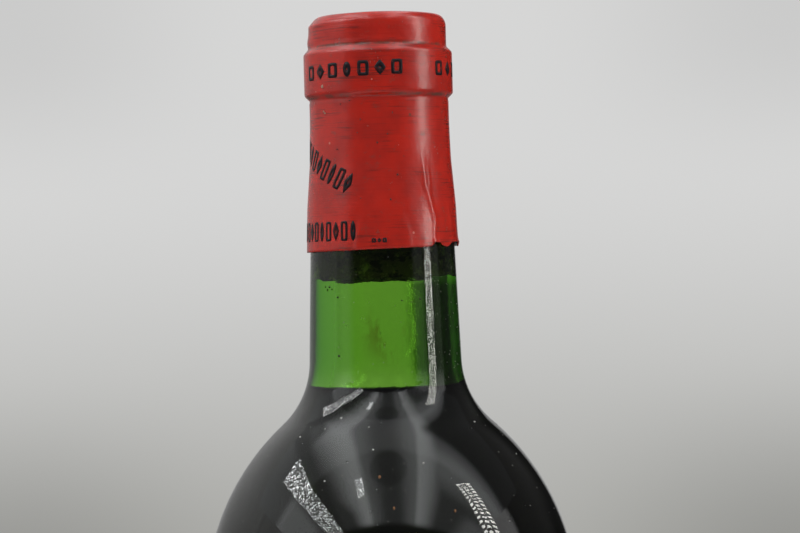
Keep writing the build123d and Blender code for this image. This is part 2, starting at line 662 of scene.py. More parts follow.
@dataclass(frozen=True)
class CorkFinish:
    """Cork that wine and mould have blackened towards its lower end."""

    clean: Colour = (0.42, 0.25, 0.12)
    stained: Colour = (0.17, 0.10, 0.10)
    mould: Colour = (0.48, 0.34, 0.26)
    stain_span: Span = (0.262, 0.256)
    stain_ragged: float = 0.006

    def material(self, effects: Effects) -> bpy.types.Material:
        """Builds the material.

        Args:
            effects: The shared effects.

        Returns:
            The material.
        """
        material, graph, place = new_material("cork")
        grain = graph.noise(graph.stretch(place, (1, 1, 0.5)), 700.0, 4, 0.6)
        pits = graph.group(effects.specks, Vector=place, Scale=420.0, Share=0.35, Size=0.3)
        patches = graph.group(effects.smudges, Vector=place, Scale=260.0, Level=0.5)
        clean = graph.blend(grain, shaded(self.clean, 0.6), self.clean)
        clean = graph.blend(pits, clean, self.stained)
        dark = graph.blend(patches, self.stained, self.mould)
        black = graph.step(graph.noise(graph.stretch(place, (1, 1, 1.6)), 330.0, 4, 0.65), 0.50, 0.60)
        dark = graph.blend(graph.product(black, 0.85), dark, shaded(self.stained, 0.12))
        edge = graph.line(graph.noise(place, 300.0, 3), self.stain_ragged, graph.axes(place)[2])
        graph.principled({
            "Base Color": graph.blend(graph.step(edge, *self.stain_span), clean, dark),
            "Roughness": graph.line(grain, 0.3, 0.6),
            "Specular IOR Level": 0.1,
            "Normal": graph.bump(grain, 0.0003)})
        return material


@dataclass(frozen=True)
class FoilFinish:
    """Red painted foil: drawn lines round it, dirt, scuffs, painted shade along the collar's edges and a
    satin sheen.
    """

    rim: float
    red: Colour = (0.45, 0.0095, 0.0012)
    deep: Colour = (0.325, 0.0065, 0.0008)
    drawn: Colour = (0.085, 0.008, 0.005)
    grime: Colour = (0.085, 0.040, 0.030)
    dirt: Colour = (0.060, 0.030, 0.016)
    scuff: Colour = (0.55, 0.22, 0.17)
    # Where the collar's edges lie: dark lines in the dirt colour there paint shade in the crevices, partly
    # dirt.
    collar_shade_depths: tuple[float, ...] = (5.75, 15.9)
    collar_shade_reach: Span = (0.0005, 0.0001)
    roughness: float = 0.245
    ior: float = 1.6
    grain: float = 0.00007

    def collar_shade_and_dirt(self, graph: Graph, place: Socket) -> Socket:
        """Dark lines along the collar's upper and lower edge, broken up by a noise: painted shade in the
        crevices there, partly dirt.

        Args:
            graph: The graph of the foil.
            place: The place on the object.

        Returns:
            The share of painted shade and dirt.
        """
        height = graph.axes(place)[2]
        away = [graph.math("SUBTRACT", height, self.rim - depth * MM) for depth in self.collar_shade_depths]
        lines = [graph.step(graph.math("ABSOLUTE", gap), *self.collar_shade_reach) for gap in away]
        return graph.product(graph.total(*lines), graph.step(graph.noise(place, 320.0, 3, 0.7), 0.38, 0.62))

    def material(self, effects: Effects) -> bpy.types.Material:
        """Builds the material.

        Args:
            effects: The shared effects.

        Returns:
            The material.
        """
        material, graph, place = new_material("red_foil")
        fade = graph.noise(place, 120.0, 3, 0.6)
        patch = graph.step(graph.noise(graph.stretch(place, (0.6, 0.6, 1.0)), 170.0, 2), 0.42, 0.60)
        blotch = graph.step(graph.noise(graph.stretch(place, (1.0, 1.0, 1.4)), 520.0, 5, 0.7), 0.56, 0.72)
        drawn = graph.group(effects.lines, Vector=place, Stretch=(0.03, 0.03, 1.0), Scale=3400.0)
        smudge = graph.group(effects.smudges, Vector=place, Scale=300.0, Level=0.59)
        dark = graph.group(effects.specks, Vector=place, Scale=650.0, Share=0.05, Size=0.2)
        elsewhere = graph.vector("ADD", place, (0.1, 0.2, 0.3)).outputs[0]
        pale = graph.group(effects.specks, Vector=elsewhere, Scale=800.0, Share=0.02, Size=0.18)
        colour = graph.blend(graph.step(fade, 0.35, 0.7), self.red, self.deep)
        # Over the colour: drawn lines, dirt smudges, painted shade and dirt along the collar's edges,
        # grime, dark specks and pale scuffs.
        for mask, share, over in (
                (graph.product(graph.step(drawn, 0.53, 0.62), patch), 0.7, self.drawn),
                (smudge, 0.5, self.dirt), (self.collar_shade_and_dirt(graph, place), 0.75, self.dirt),
                (blotch, 0.42, self.grime), (dark, 0.8, self.dirt), (pale, 0.7, self.scuff)):
            colour = graph.blend(graph.product(mask, share), colour, over)
        rough = graph.line(fade, 0.14, self.roughness - 0.07)
        height = graph.line(drawn, 0.5, graph.noise(place, 500.0, 3, 0.6))
        graph.principled({
            "Base Color": colour, "Roughness": graph.line(smudge, 0.06, rough), "IOR": self.ior,
            "Normal": graph.bump(height, self.grain)})
        return material


@dataclass(frozen=True)
class InkFinish:
    """Black print, worn so that the red shows through it in places."""

    ink: Colour = (0.010, 0.007, 0.009)
    worn: Colour = (0.12, 0.010, 0.008)

    def material(self, effects: Effects) -> bpy.types.Material:
        """Builds the material.

        Args:
            effects: The shared effects.

        Returns:
            The material.
        """
        material, graph, place = new_material("black_print")
        wear = graph.group(effects.smudges, Vector=place, Scale=600.0, Level=0.54)
        graph.principled({
            "Base Color": graph.blend(wear, self.ink, self.worn),
            "Roughness": graph.line(wear, 0.2, 0.4),
            "Specular IOR Level": 0.2,
            "Normal": graph.bump(graph.noise(place, 900.0, 2), 0.00003)})
        return material


@dataclass(frozen=True)
class FleckFinish:
    """A grain of dust or dirt."""

    name: str
    colour: Colour

    def material(self) -> bpy.types.Material:
        """Builds the material.

        Returns:
            The material.
        """
        material, graph, place = new_material(self.name)
        mottle = graph.noise(place, 3000.0, 2)
        graph.principled({
            "Base Color": graph.blend(mottle, self.colour, shaded(self.colour, 0.5)),
            "Roughness": graph.line(mottle, 0.2, 0.7)})
        return material


# The bottle's pieces


@dataclass(frozen=True)
class BottleShape:
    """The bottle's outlines, in the (radius, height) plane. A depth is below the rim."""

    height: float
    body_radius: float
    body_wall: float = 3.05
    shoulder_depth: float = 118.4
    shoulder_radius: float = 49.4
    heel_radius: float = 6.0
    heel_radius_inside: float = 5.0
    base_thickness: float = 5.5
    foot_width: float = 10.7
    foot_round: float = 3.0
    punt_height: float = 20.0
    punt_tip_radius: float = 10.0
    punt_tip_round: float = 10.0
    neck_radius: float = 13.55
    neck_taper: float = 2.0
    neck_root_radius: float = 17.4
    bore_radius: float = 9.25
    bore_taper: float = 1.0
    bore_root_radius: float = 22.0
    collar_proud: float = 1.17
    collar_depth: float = 6.0
    collar_length: float = 10.3
    collar_bevel: float = 1.0
    collar_round: float = 0.6
    lip_proud: float = 0.05
    lip_round: float = 1.6
    mouth_round: float = 0.8

    @property
    def collar_top(self) -> float:
        """Height of the collar's upper edge."""
        return self.height - self.collar_depth

    @property
    def collar_bottom(self) -> float:
        """Height of the collar's lower edge."""
        return self.collar_top - self.collar_length

    def neck_at(self, height: float) -> float:
        """Outer radius of the neck at a height below the collar."""
        return self.neck_radius + (self.collar_bottom - height) * math.tan(math.radians(self.neck_taper))

    def shoulder(self, side: float, convex: float, concave: float, top: Spot, taper: float) -> np.ndarray:
        """The two arcs from the body's side to the neck.

        Formula: the second arc's centre lies `concave` outside the neck's line and
        `convex + concave` from the first arc's centre, which fixes it.

        Args:
            side: Radius of the body's side, where the first arc leaves upright.
            convex: Radius of the first arc.
            concave: Radius of the second arc.
            top: A point on the neck's line.
            taper: Degrees by which that line widens downwards.

        Returns:
            The points, from the body up.
        """
        lean = math.radians(taper)
        down = np.array([math.sin(lean), -math.cos(lean)])
        outward = np.array([math.cos(lean), math.sin(lean)])
        centre = np.array([side - convex, self.height - self.shoulder_depth])
        reach = np.array(top) + outward * concave - centre
        fall = -(reach @ down) - math.sqrt((reach @ down) ** 2 - reach @ reach + (convex + concave) ** 2)
        between = reach + down * fall
        turn = math.atan2(between[1], between[0])
        return np.concatenate([
            arc(centre, convex, 0, turn),
            arc(centre + between, concave, turn + math.pi, lean + math.pi)[1:]])

    def outside(self) -> np.ndarray:
        """The outer outline, from the tip of the punt round the base and up to the lip.

        Returns:
            The points.
        """
        foot = self.body_radius - self.foot_width
        base = rounded(
            [(0, self.punt_height), (self.punt_tip_radius, self.punt_height), (foot, 0),
             (self.body_radius, 0), (self.body_radius, self.height - self.shoulder_depth)],
            [self.punt_tip_round, self.foot_round, self.heel_radius])
        neck_top = (self.neck_radius, self.collar_bottom)
        shoulder = self.shoulder(
            self.body_radius, self.shoulder_radius, self.neck_root_radius, neck_top, self.neck_taper)
        collar, lip = self.neck_radius + self.collar_proud, self.neck_radius + self.lip_proud
        mouth = rounded(
            [tuple(shoulder[-1]), neck_top, (collar, self.collar_bottom + self.collar_bevel),
             (collar, self.collar_top - self.collar_bevel), (lip, self.collar_top),
             (lip, self.height), (self.bore_radius + self.mouth_round, self.height)],
            [self.collar_round] * 4 + [self.lip_round])
        return np.concatenate([base[:-1], shoulder, mouth[1:]])

    def inside(self, reach: float = 0.0) -> np.ndarray:
        """The inner outline, from the raised floor up to the mouth.

        Args:
            reach: How far outside the inner wall the outline runs, for what fills it.

        Returns:
            The points.
        """
        floor = self.base_thickness - reach
        side = self.body_radius - self.body_wall + reach
        foot = self.body_radius - self.foot_width
        base = rounded(
            [(0, self.punt_height + floor), (self.punt_tip_radius, self.punt_height + floor),
             (foot, floor), (side, floor), (side, self.height - self.shoulder_depth)],
            [self.punt_tip_round + floor, self.foot_round, self.heel_radius_inside + reach])
        rim = (self.bore_radius + reach, self.height)
        shoulder = self.shoulder(
            side, self.shoulder_radius - self.body_wall + reach, self.bore_root_radius - reach, rim,
            self.bore_taper)
        mouth = rounded(
            [tuple(shoulder[-1]), rim, (self.bore_radius + self.mouth_round, self.height)],
            [self.mouth_round - 0.01])
        return np.concatenate([base[:-1], shoulder, mouth[1:]])

    def bore_at(self, height: np.ndarray) -> np.ndarray:
        """Inner radius of the neck at a height."""
        return self.bore_radius + (self.height - height) * math.tan(math.radians(self.bore_taper))


@dataclass
class GlassBottle:
    """The glass, a closed shell turned about the axis, a little uneven like blown glass."""

    shape: BottleShape
    finish: GlassFinish = field(default_factory=GlassFinish)
    segments: int = 240
    outer_wave: float = 0.025
    inner_wave: float = 0.10
    knurls: int = 48
    knurl_depth: float = 0.25
    outer_pace: Span = (0.95, 5.0)
    inner_pace: Span = (1.9, 6.0)
    free_of_axis: Span = (1.8, 7.8)
    free_of_foot: Span = (6.0, 26.0)
    free_of_lip: Span = (8.0, 18.0)

    def pace(self, outline: np.ndarray, fine: float, coarse: float) -> np.ndarray:
        """Spacing of the rings: fine on the shoulder and above, coarse on the straight body.

        Args:
            outline: The points of an outline.
            fine: The fine spacing.
            coarse: The coarse spacing.

        Returns:
            The spacing at each point.
        """
        straight = self.shape.height - self.shape.shoulder_depth - 4
        low = (outline[:, 1] > 2 * self.shape.heel_radius) & (outline[:, 1] < straight)
        return np.where(low & (outline[:, 0] > self.shape.body_radius / 2), coarse, fine)

    def surface(self) -> tuple[np.ndarray, np.ndarray, np.ndarray]:
        """The rings of the whole shell, outside and then inside, with their poles.

        Formula: radius = outline + wave(angle, height), the wave being longer and
        shallower outside, and drawn out along the height inside. It dies off towards the
        axis, the foot and the lip. Small knurls are pressed
        into the ring that the bottle stands on: they lift it by
        knurl_depth * cos(knurls * angle / 2)^2 there.

        Returns:
            The grid, the first pole and the last pole.
        """
        shape = self.shape
        outside = subdivided(shape.outside(), 1.0)[1:]
        outside = resampled(outside, self.pace(outside, *self.outer_pace))
        inside = subdivided(shape.inside(), 1.0)[:0:-1]
        inside = resampled(inside, self.pace(inside, *self.inner_pace))
        around = angles(self.segments)[None, :]
        grids = []
        for outline, wave, turns, rise, seed in (
                (outside, self.outer_wave, 5, 0.08, 3), (inside, self.inner_wave, 11, 0.035, 8)):
            radius, height = outline[:, :1], outline[:, 1:]
            free = ramp(radius, *self.free_of_axis) * ramp(height, *self.free_of_foot)
            free = free * ramp(shape.height - height, *self.free_of_lip)
            ring = radius + wave * free * ripple(around, height, turns, rise, seed)
            grids.append((ring, height + 0 * around))
        ring = np.concatenate([grid[0] for grid in grids])
        height = np.concatenate([grid[1] for grid in grids])
        foot = (height < 0.02) & (ring > shape.body_radius - shape.foot_width)
        lift = self.knurl_depth * np.cos(self.knurls * around / 2) ** 2
        height = np.where(foot, height + lift, height)
        first = np.array([0, 0, outside[0, 1]]) * MM
        last = np.array([0, 0, inside[-1, 1]]) * MM
        return around_axis(ring, around, height), first, last

    def build(self, effects: Effects) -> bpy.types.Object:
        """Makes the glass and shows it in place of its plain node.

        Args:
            effects: The shared effects.

        Returns:
            The piece.
        """
        mesh = closed_surface("bottle_glass", *self.surface())
        piece = show(mesh, "green_glass", self.finish.material(effects))
        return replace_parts(piece, "glass_bottle")


@dataclass
class Wine:
    """The wine, which reaches just into the glass and creeps up it at its edge."""

    shape: BottleShape
    level: float
    segments: int = 192
    free_rings: int = 39
    pace: float = 1.6
    reach: float = 0.3
    creep: float = 1.25
    creep_width: float = 1.6

    def surface(self) -> tuple[np.ndarray, np.ndarray, np.ndarray, int]:
        """The wine's side and its free surface.

        Formula: the side is the bottle's inner outline moved out by `reach`, up to the
        level. The surface stands creep * exp(-d / creep_width) above the level at a
        distance d from the glass.

        Returns:
            The grid, the lower pole, the upper pole, and the number of rings on the side.
        """
        outline = subdivided(self.shape.inside(self.reach), 0.5)[1:]
        climbing = outline[-200:]
        top = self.level + self.creep
        side = outline[(np.cumsum(outline[:, 1] > top) == 0)]
        edge = (side[-1, 0] + np.interp(top, climbing[:, 1], climbing[:, 0])) / 2
        side = np.concatenate([side, [[edge, top]]])
        side = resampled(side, np.full(len(side), self.pace))
        wall = side[-1, 0] - self.reach
        inward = wall * (1 - np.linspace(0, 1, self.free_rings + 1)[:-1] ** 1.6)
        risen = self.creep * np.exp((inward - wall) / self.creep_width)
        free = np.stack([inward, self.level + risen], axis=1)
        path = np.concatenate([side, free])
        around = angles(self.segments)[None, :]
        grid = around_axis(path[:, :1], around, path[:, 1:])
        low = np.array([0, 0, side[0, 1]]) * MM
        return grid, low, np.array([0, 0, self.level]) * MM, len(side)

    def build(self) -> bpy.types.Object:
        """Makes the wine and shows it in place of its plain node.

        Returns:
            The piece.
        """
        grid, low, high, side_rings = self.surface()
        mesh = closed_surface("red_wine", grid, low, high)
        finish = WineFinish((self.level + self.creep) * MM)
        piece = show(mesh, "wine", finish.material(False), finish.material(True))
        quads = (len(grid) - 1) * self.segments
        number = np.zeros(len(mesh.polygons), dtype=np.int32)
        number[(side_rings - 1) * self.segments:quads] = 1
        number[quads + self.segments:] = 1
        mesh.polygons.foreach_set("material_index", number)
        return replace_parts(piece, "wine")


@dataclass
class Cork:
    """The cork, squeezed into the bore, with an uneven lower end."""

    shape: BottleShape
    bottom: float
    top: float
    finish: CorkFinish = field(default_factory=CorkFinish)
    segments: int = 160
    reach: float = 0.12
    edge: float = 1.0
    unevenness: float = 0.45
    uneven_up_to: float = 4.0
    side_bumps: float = 0.03

    def surface(self) -> tuple[np.ndarray, np.ndarray, np.ndarray]:
        """The cork's rings from its lower end up.

        Formula: the side follows the bore plus `reach`, and each end is a disc with a
        rounded edge. The lower end rises and falls with a wave round the cork that grows
        with the radius.

        Returns:
            The grid, the lower pole and the upper pole.
        """
        low = self.shape.bore_at(self.bottom) + self.reach
        high = self.shape.bore_at(self.top) + self.reach
        path = rounded([(0.6, self.bottom), (low, self.bottom), (high, self.top), (0.6, self.top)],
                       [self.edge, self.edge / 2])
        path = subdivided(path, 0.7)
        around = angles(self.segments)[None, :]
        radius, height = path[:, :1], path[:, 1:]
        lower = ramp(height, self.bottom + self.uneven_up_to, self.bottom)
        wave = ripple(around, 0 * height, 7, 0.0, 21) + 0.5 * ripple(around, radius, 19, 1.5, 22)
        height = height + self.unevenness * lower * wave * radius / low
        bumps = self.side_bumps * ripple(around, height, 16, 1.2, 23)
        radius = radius + bumps * ramp(radius / low, 0.5, 1.0)
        poles = np.array([[0, 0, self.bottom], [0, 0, self.top]]) * MM
        return around_axis(radius, around, height), poles[0], poles[1]

    def build(self, effects: Effects) -> bpy.types.Object:
        """Makes the cork and shows it in place of its plain node.

        Args:
            effects: The shared effects.

        Returns:
            The piece.
        """
        mesh = closed_surface("bottle_cork", *self.surface())
        piece = show(mesh, "cork", self.finish.material(effects))
        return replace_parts(piece, "cork")


@dataclass(frozen=True)
class Crease:
    """A ridge or furrow in the foil along a line of (angle in degrees, depth) points."""

    path: tuple[Spot, ...]
    lift: float
    width: float
    fade: float = 2.0

    def height(self, angle: np.ndarray, depth: np.ndarray, girth: float) -> np.ndarray:
        """How far the crease lifts the foil.

        Formula: lift * exp(-(d / width)^2), with d the distance to the nearest point of
        the path on the unrolled foil, and the lift easing off within `fade` of its ends.

        Args:
            angle: Angle round the bottle in radians.
            depth: Depth below the rim.
            girth: Radius at which the foil is unrolled.

        Returns:
            The lift at each point.
        """
        across = signed(angle) * girth
        spots = np.array(self.path, dtype=float)
        spots[:, 0] = np.radians(spots[:, 0]) * girth
        lengths = np.linalg.norm(np.diff(spots, axis=0), axis=1)
        walked, total = 0.0, lengths.sum()
        best = np.full(np.broadcast(across, depth).shape, np.inf)
        along = np.zeros_like(best)
        for start, end, length in zip(spots, spots[1:], lengths):
            step = (end - start) / length
            t = np.clip((across - start[0]) * step[0] + (depth - start[1]) * step[1], 0, length)
            gap = np.hypot(across - start[0] - t * step[0], depth - start[1] - t * step[1])
            nearer = gap < best
            best = np.where(nearer, gap, best)
            along = np.where(nearer, walked + t, along)
            walked += length
        ends = np.clip(np.minimum(along, total - along) / self.fade + 0.15, 0, 1)
        return self.lift * ends * np.exp(-(best / self.width) ** 2)


@dataclass
class Capsule:
    """The foil capsule: a thin closed shell drawn over the mouth, creased and torn."""

    shape: BottleShape
    segments: int = 400
    thickness: float = 0.25
    gap: float = 0.05
    bridge: float = 0.15
    hem_depth: float = 46.5
    hem_slant: float = 1.4
    hem_flare: float = 0.42
    flare_rise: float = 17.5
    flare_band: float = 8.5
    flare_round: float = 30.0
    ragged: float = 0.035
    top_rise: float = 0.38
    bridging: float = 0.24
    slump: float = 1.15
    slump_width: float = 2.4
    hem_line: tuple[Spot, ...] = (
        (36.0, 0.0), (40.5, 0.15), (42.3, 0.75), (44.0, 0.85), (48.8, 0.7), (52.5, 0.15), (57.2, -0.12),
        (60.5, -0.05), (63.0, 0.6), (66.0, 0.78), (84.0, 0.82), (87.5, 0.5), (90.5, -0.1), (97.0, 0.0))
    creases: tuple[Crease, ...] = (
        Crease(((36.2, 27.5), (36.7, 33.8), (40.6, 37.4), (44.3, 40.8), (44.6, 42.3), (43.1, 44.2),
                (43.5, 46.0)), 0.20, 0.62, 5.0),
        Crease(((40.5, 29.8), (41.2, 33.0), (40.9, 36.0)), 0.12, 0.4),
        Crease(((31.0, 25.0), (33.0, 30.0), (37.0, 36.0), (39.0, 40.0)), 0.11, 1.5, 6.0),
        Crease(((62.0, 38.0), (66.0, 41.5), (65.0, 45.6)), 0.12, 0.5),
        Crease(((-60.0, 5.6), (-32.0, 5.45), (-18.0, 5.4), (-8.0, 4.9), (8.0, 4.9), (20.0, 5.0)),
               0.13, 0.33),
        Crease(((-20.0, 5.9), (-8.0, 5.5), (20.0, 5.6)), -0.17, 0.26),
        Crease(((-16.0, 6.3), (0.0, 6.15), (24.0, 6.3)), 0.09, 0.3),
        Crease(((-37.0, 2.8), (-38.0, 5.9)), 0.10, 0.4),
        Crease(((-60.0, 1.9), (-30.0, 1.6), (0.0, 1.5), (30.0, 1.4), (55.0, 1.5)), -0.08, 0.4),
        Crease(((-118.0, 4.4), (-90.0, 4.7), (-62.0, 4.4)), 0.28, 1.3, 5.0),
        Crease(((118.0, 24.0), (124.0, 33.0), (121.0, 44.0)), 0.15, 0.5),
        Crease(((-130.0, 30.0), (-121.0, 38.0), (-118.0, 46.0)), 0.14, 0.45),
        Crease(((170.0, 20.0), (176.0, 31.0), (168.0, 40.0)), -0.10, 0.8),
        Crease(((150.0, 5.3), (175.0, 4.9), (200.0, 5.4)), 0.10, 0.4))
    swelling_angle: float = 1.0
    swelling_wide: float = 5.1
    swelling_tall: float = 9.4
    swelling_out: float = 0.14
    swelling_soft: Span = (0.03, 0.17)
    swelling_from: float = 20.0
    bridging_fade: float = 5.0
    curl: float = 0.3
    curl_fade: float = 0.9
    slow_wave: float = 0.03
    quick_wave: float = 0.018
    pressed_in: float = 0.35
    pressed_edge: float = 0.6
    pressed_soft: float = 0.3
    dimples: float = 0.05
    hem_reach: float = 4.0
    fine_pace: float = 0.36
    coarse_pace: float = 1.2

    @property
    def crown(self) -> float:
        """Height of the capsule's flat top."""
        return self.shape.height + self.thickness

    def outline(self, offset: float, top: float) -> np.ndarray:
        """The form of the foil, from its hem up to the middle of its top.

        Args:
            offset: Distance outside the glass.
            top: Height of the flat top.

        Returns:
            The points.
        """
        shape = self.shape
        hem = shape.height - self.hem_depth
        collar, lip = shape.neck_radius + shape.collar_proud, shape.neck_radius + shape.lip_proud
        return rounded(
            [(shape.neck_at(hem) + self.hem_flare + offset, hem),
             (shape.neck_at(hem + self.flare_band) + self.hem_flare + offset, hem + self.flare_band),
             (shape.neck_at(hem + self.flare_rise) + offset, hem + self.flare_rise),
             (shape.neck_radius + offset, shape.collar_bottom - self.bridge),
             (collar + offset, shape.collar_bottom + shape.collar_bevel),
             (collar + offset, shape.collar_top - shape.collar_bevel),
             (lip + offset, shape.collar_top + self.bridge), (lip + offset, top), (0.3, top)],
            [self.flare_round] * 2 + [shape.collar_round] * 4 + [shape.lip_round + offset])

    def hem_lift(self, angle: np.ndarray) -> np.ndarray:
        """Height of the hem over its middle height, round the bottle.

        Formula: radius * sin(angle) * tan(slant), plus a fine ragged wave, plus the torn
        stretch's own line through the points of hem_line.

        Args:
            angle: Angle round the bottle in radians.

        Returns:
            The lift in millimetres.
        """
        lift = self.shape.neck_radius * np.sin(angle) * math.tan(math.radians(self.hem_slant))
        fine, broad = ripple(angle, 0 * angle, 60, 0, 31), ripple(angle, 0 * angle, 9, 0, 32)
        return lift + self.ragged * (fine + broad) + self.torn(angle)

    def torn(self, angle: np.ndarray) -> np.ndarray:
        """How far the tears lift the hem at an angle in radians, on straight lines between
        the points of hem_line and a little ragged where it is lifted.

        Args:
            angle: Angle round the bottle in radians.

        Returns:
            The lift in millimetres.
        """
        line = np.array(self.hem_line)
        lift = np.interp(np.degrees(signed(angle)), line[:, 0], line[:, 1])
        return lift + 0.10 * np.clip(lift, 0, 1) * ripple(angle, 0 * angle, 110, 0, 33)

    def relief(self, angle: np.ndarray, height: np.ndarray) -> np.ndarray:
        """How far the foil stands out of its even form.

        Formula: two waves, plus the creases, plus a swelling in front whose edge is a
        smooth step at ellipse radius 1, sharper at its sides than over its top, plus
        bridging * exp(-d / bridging_fade) at d under the collar, plus a curl beside the
        tears that dies off above the hem.

        Args:
            angle: Angle round the bottle in radians.
            height: Height in millimetres.

        Returns:
            The relief in millimetres.
        """
        depth = self.shape.height - height
        girth = self.shape.neck_radius
        relief = self.slow_wave * ripple(angle, height, 6, 0.25, 41)
        relief = relief + self.quick_wave * ripple(angle, height, 15, 0.6, 42)
        for crease in self.creases:
            relief = relief + crease.height(angle, depth, girth)
        across = signed(angle - math.radians(self.swelling_angle)) * girth
        oval = np.hypot(across / self.swelling_wide, (depth - self.hem_depth) / self.swelling_tall)
        sharp, softest = self.swelling_soft
        soft = sharp + (softest - sharp) * np.clip(1 - np.abs(across) / self.swelling_wide, 0, 1)
        relief = relief + self.swelling_out / (1 + np.exp((oval - 1) / soft)) * (depth > self.swelling_from)
        under = np.clip(depth - self.shape.collar_depth - self.shape.collar_length, 0, 45)
        relief = relief + self.bridging * np.exp(-under / self.bridging_fade) * np.clip(2 * under, 0, 1)
        curl = np.clip(self.torn(angle), 0, 1) * np.exp((depth - self.hem_depth) / self.curl_fade)
        return relief + self.curl * np.clip(curl, 0, 1)

    def radius_at(self, angle: np.ndarray, height: np.ndarray) -> np.ndarray:
        """Outer radius of the foil's side, with its relief.

        Args:
            angle: Angle round the bottle in radians.
            height: Height in millimetres.

        Returns:
            The radius in millimetres.
        """
        outline = self.outline(self.gap + self.thickness, self.crown)
        side = outline[outline[:, 1] < self.crown - self.shape.lip_round]
        return np.interp(height, side[:, 1], side[:, 0]) + self.relief(angle, height)

    def surface(self) -> tuple[np.ndarray, np.ndarray, np.ndarray]:
        """The shell's rings: down the inside, round the hem and up the outside.

        Formula: outside, radius = outline + relief; the rings near the hem follow it up by
        hem_lift * exp(-rise / hem_reach). The inside is the same less the thickness. The
        top stands top_rise higher outside, is pressed in over the mouth by a smooth step
        just inside the bore's radius, and slumps at the rim on the -X side by the square
        of the distance from where that begins.

        Returns:
            The grid, the inner pole and the outer pole.
        """
        around = angles(self.segments)[None, :]
        hem = self.shape.height - self.hem_depth
        rings = []
        mouth = self.shape.bore_radius
        for offset, top, pace in ((self.gap, self.crown - self.thickness, self.coarse_pace),
                                  (self.gap + self.thickness, self.crown, self.fine_pace)):
            outline = subdivided(self.outline(offset, top), 0.3)
            outline = resampled(outline, np.where(outline[:, 0] < mouth - 1, self.coarse_pace, pace))
            radius, height = outline[:, :1], outline[:, 1:] + 0 * around
            flat = np.clip((height - top + self.shape.lip_round) / self.shape.lip_round, 0, 1)
            relief = self.relief(around, height)
            pressed = 1 / (1 + np.exp((radius - mouth + self.pressed_edge) / self.pressed_soft))
            dimples = self.dimples * ripple(around, 0.4 * radius, 5, 0.9, 51) * (radius / 14) ** 2
            leaning = np.clip(-1.2 * np.sin(around) - 0.15, 0, 1)
            brim = np.clip((radius - self.shape.neck_radius + self.slump_width) / self.slump_width, 0, 1.2)
            sag = self.pressed_in * pressed + dimples + self.slump * leaning * brim ** 2
            sag = (sag - self.top_rise * (offset > self.gap)) * flat
            follow = self.hem_lift(around) * np.exp((hem - height) / self.hem_reach)
            rings.append(around_axis(radius + relief * (1 - flat), around, height + follow - sag))
        grid = np.concatenate([rings[0][::-1], rings[1]])
        poles = [np.array([0, 0, ring[-1, :, 2].mean()]) for ring in rings]
        return grid, poles[0], poles[1]

    def build(self, effects: Effects) -> bpy.types.Object:
        """Makes the capsule and shows it in place of its plain node.

        Args:
            effects: The shared effects.

        Returns:
            The piece.
        """
        mesh = closed_surface("foil_capsule", *self.surface())
        piece = show(mesh, "foil", FoilFinish(rim=self.shape.height * MM).material(effects))
        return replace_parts(piece, "capsule")


class MarkForm(Enum):
    """Outline of a printed mark: the power of its superellipse, its share of the row's
    width, and the share of it that is hollow."""

    FRAME = (7.0, 1.0, 0.55)
    LOZENGE = (1.15, 1.0, 0.12)
    OVAL = (2.0, 0.72, 0.12)

    @property
    def power(self) -> float:
        """The superellipse's power."""
        return self.value[0]

    @property
    def width(self) -> float:
        """The mark's share of the row's width."""
        return self.value[1]

    @property
    def hollow(self) -> float:
        """How much of the mark's width its hole takes."""
        return self.value[2]


@dataclass(frozen=True)
class MarkRow:
    """A row of marks on the foil from one (angle in degrees, depth) place to another,
    each turned by the lean."""

    start: Spot
    end: Spot
    count: int
    wide: float
    tall: float
    lean: float = 0.0
    stroke: float = 0.5


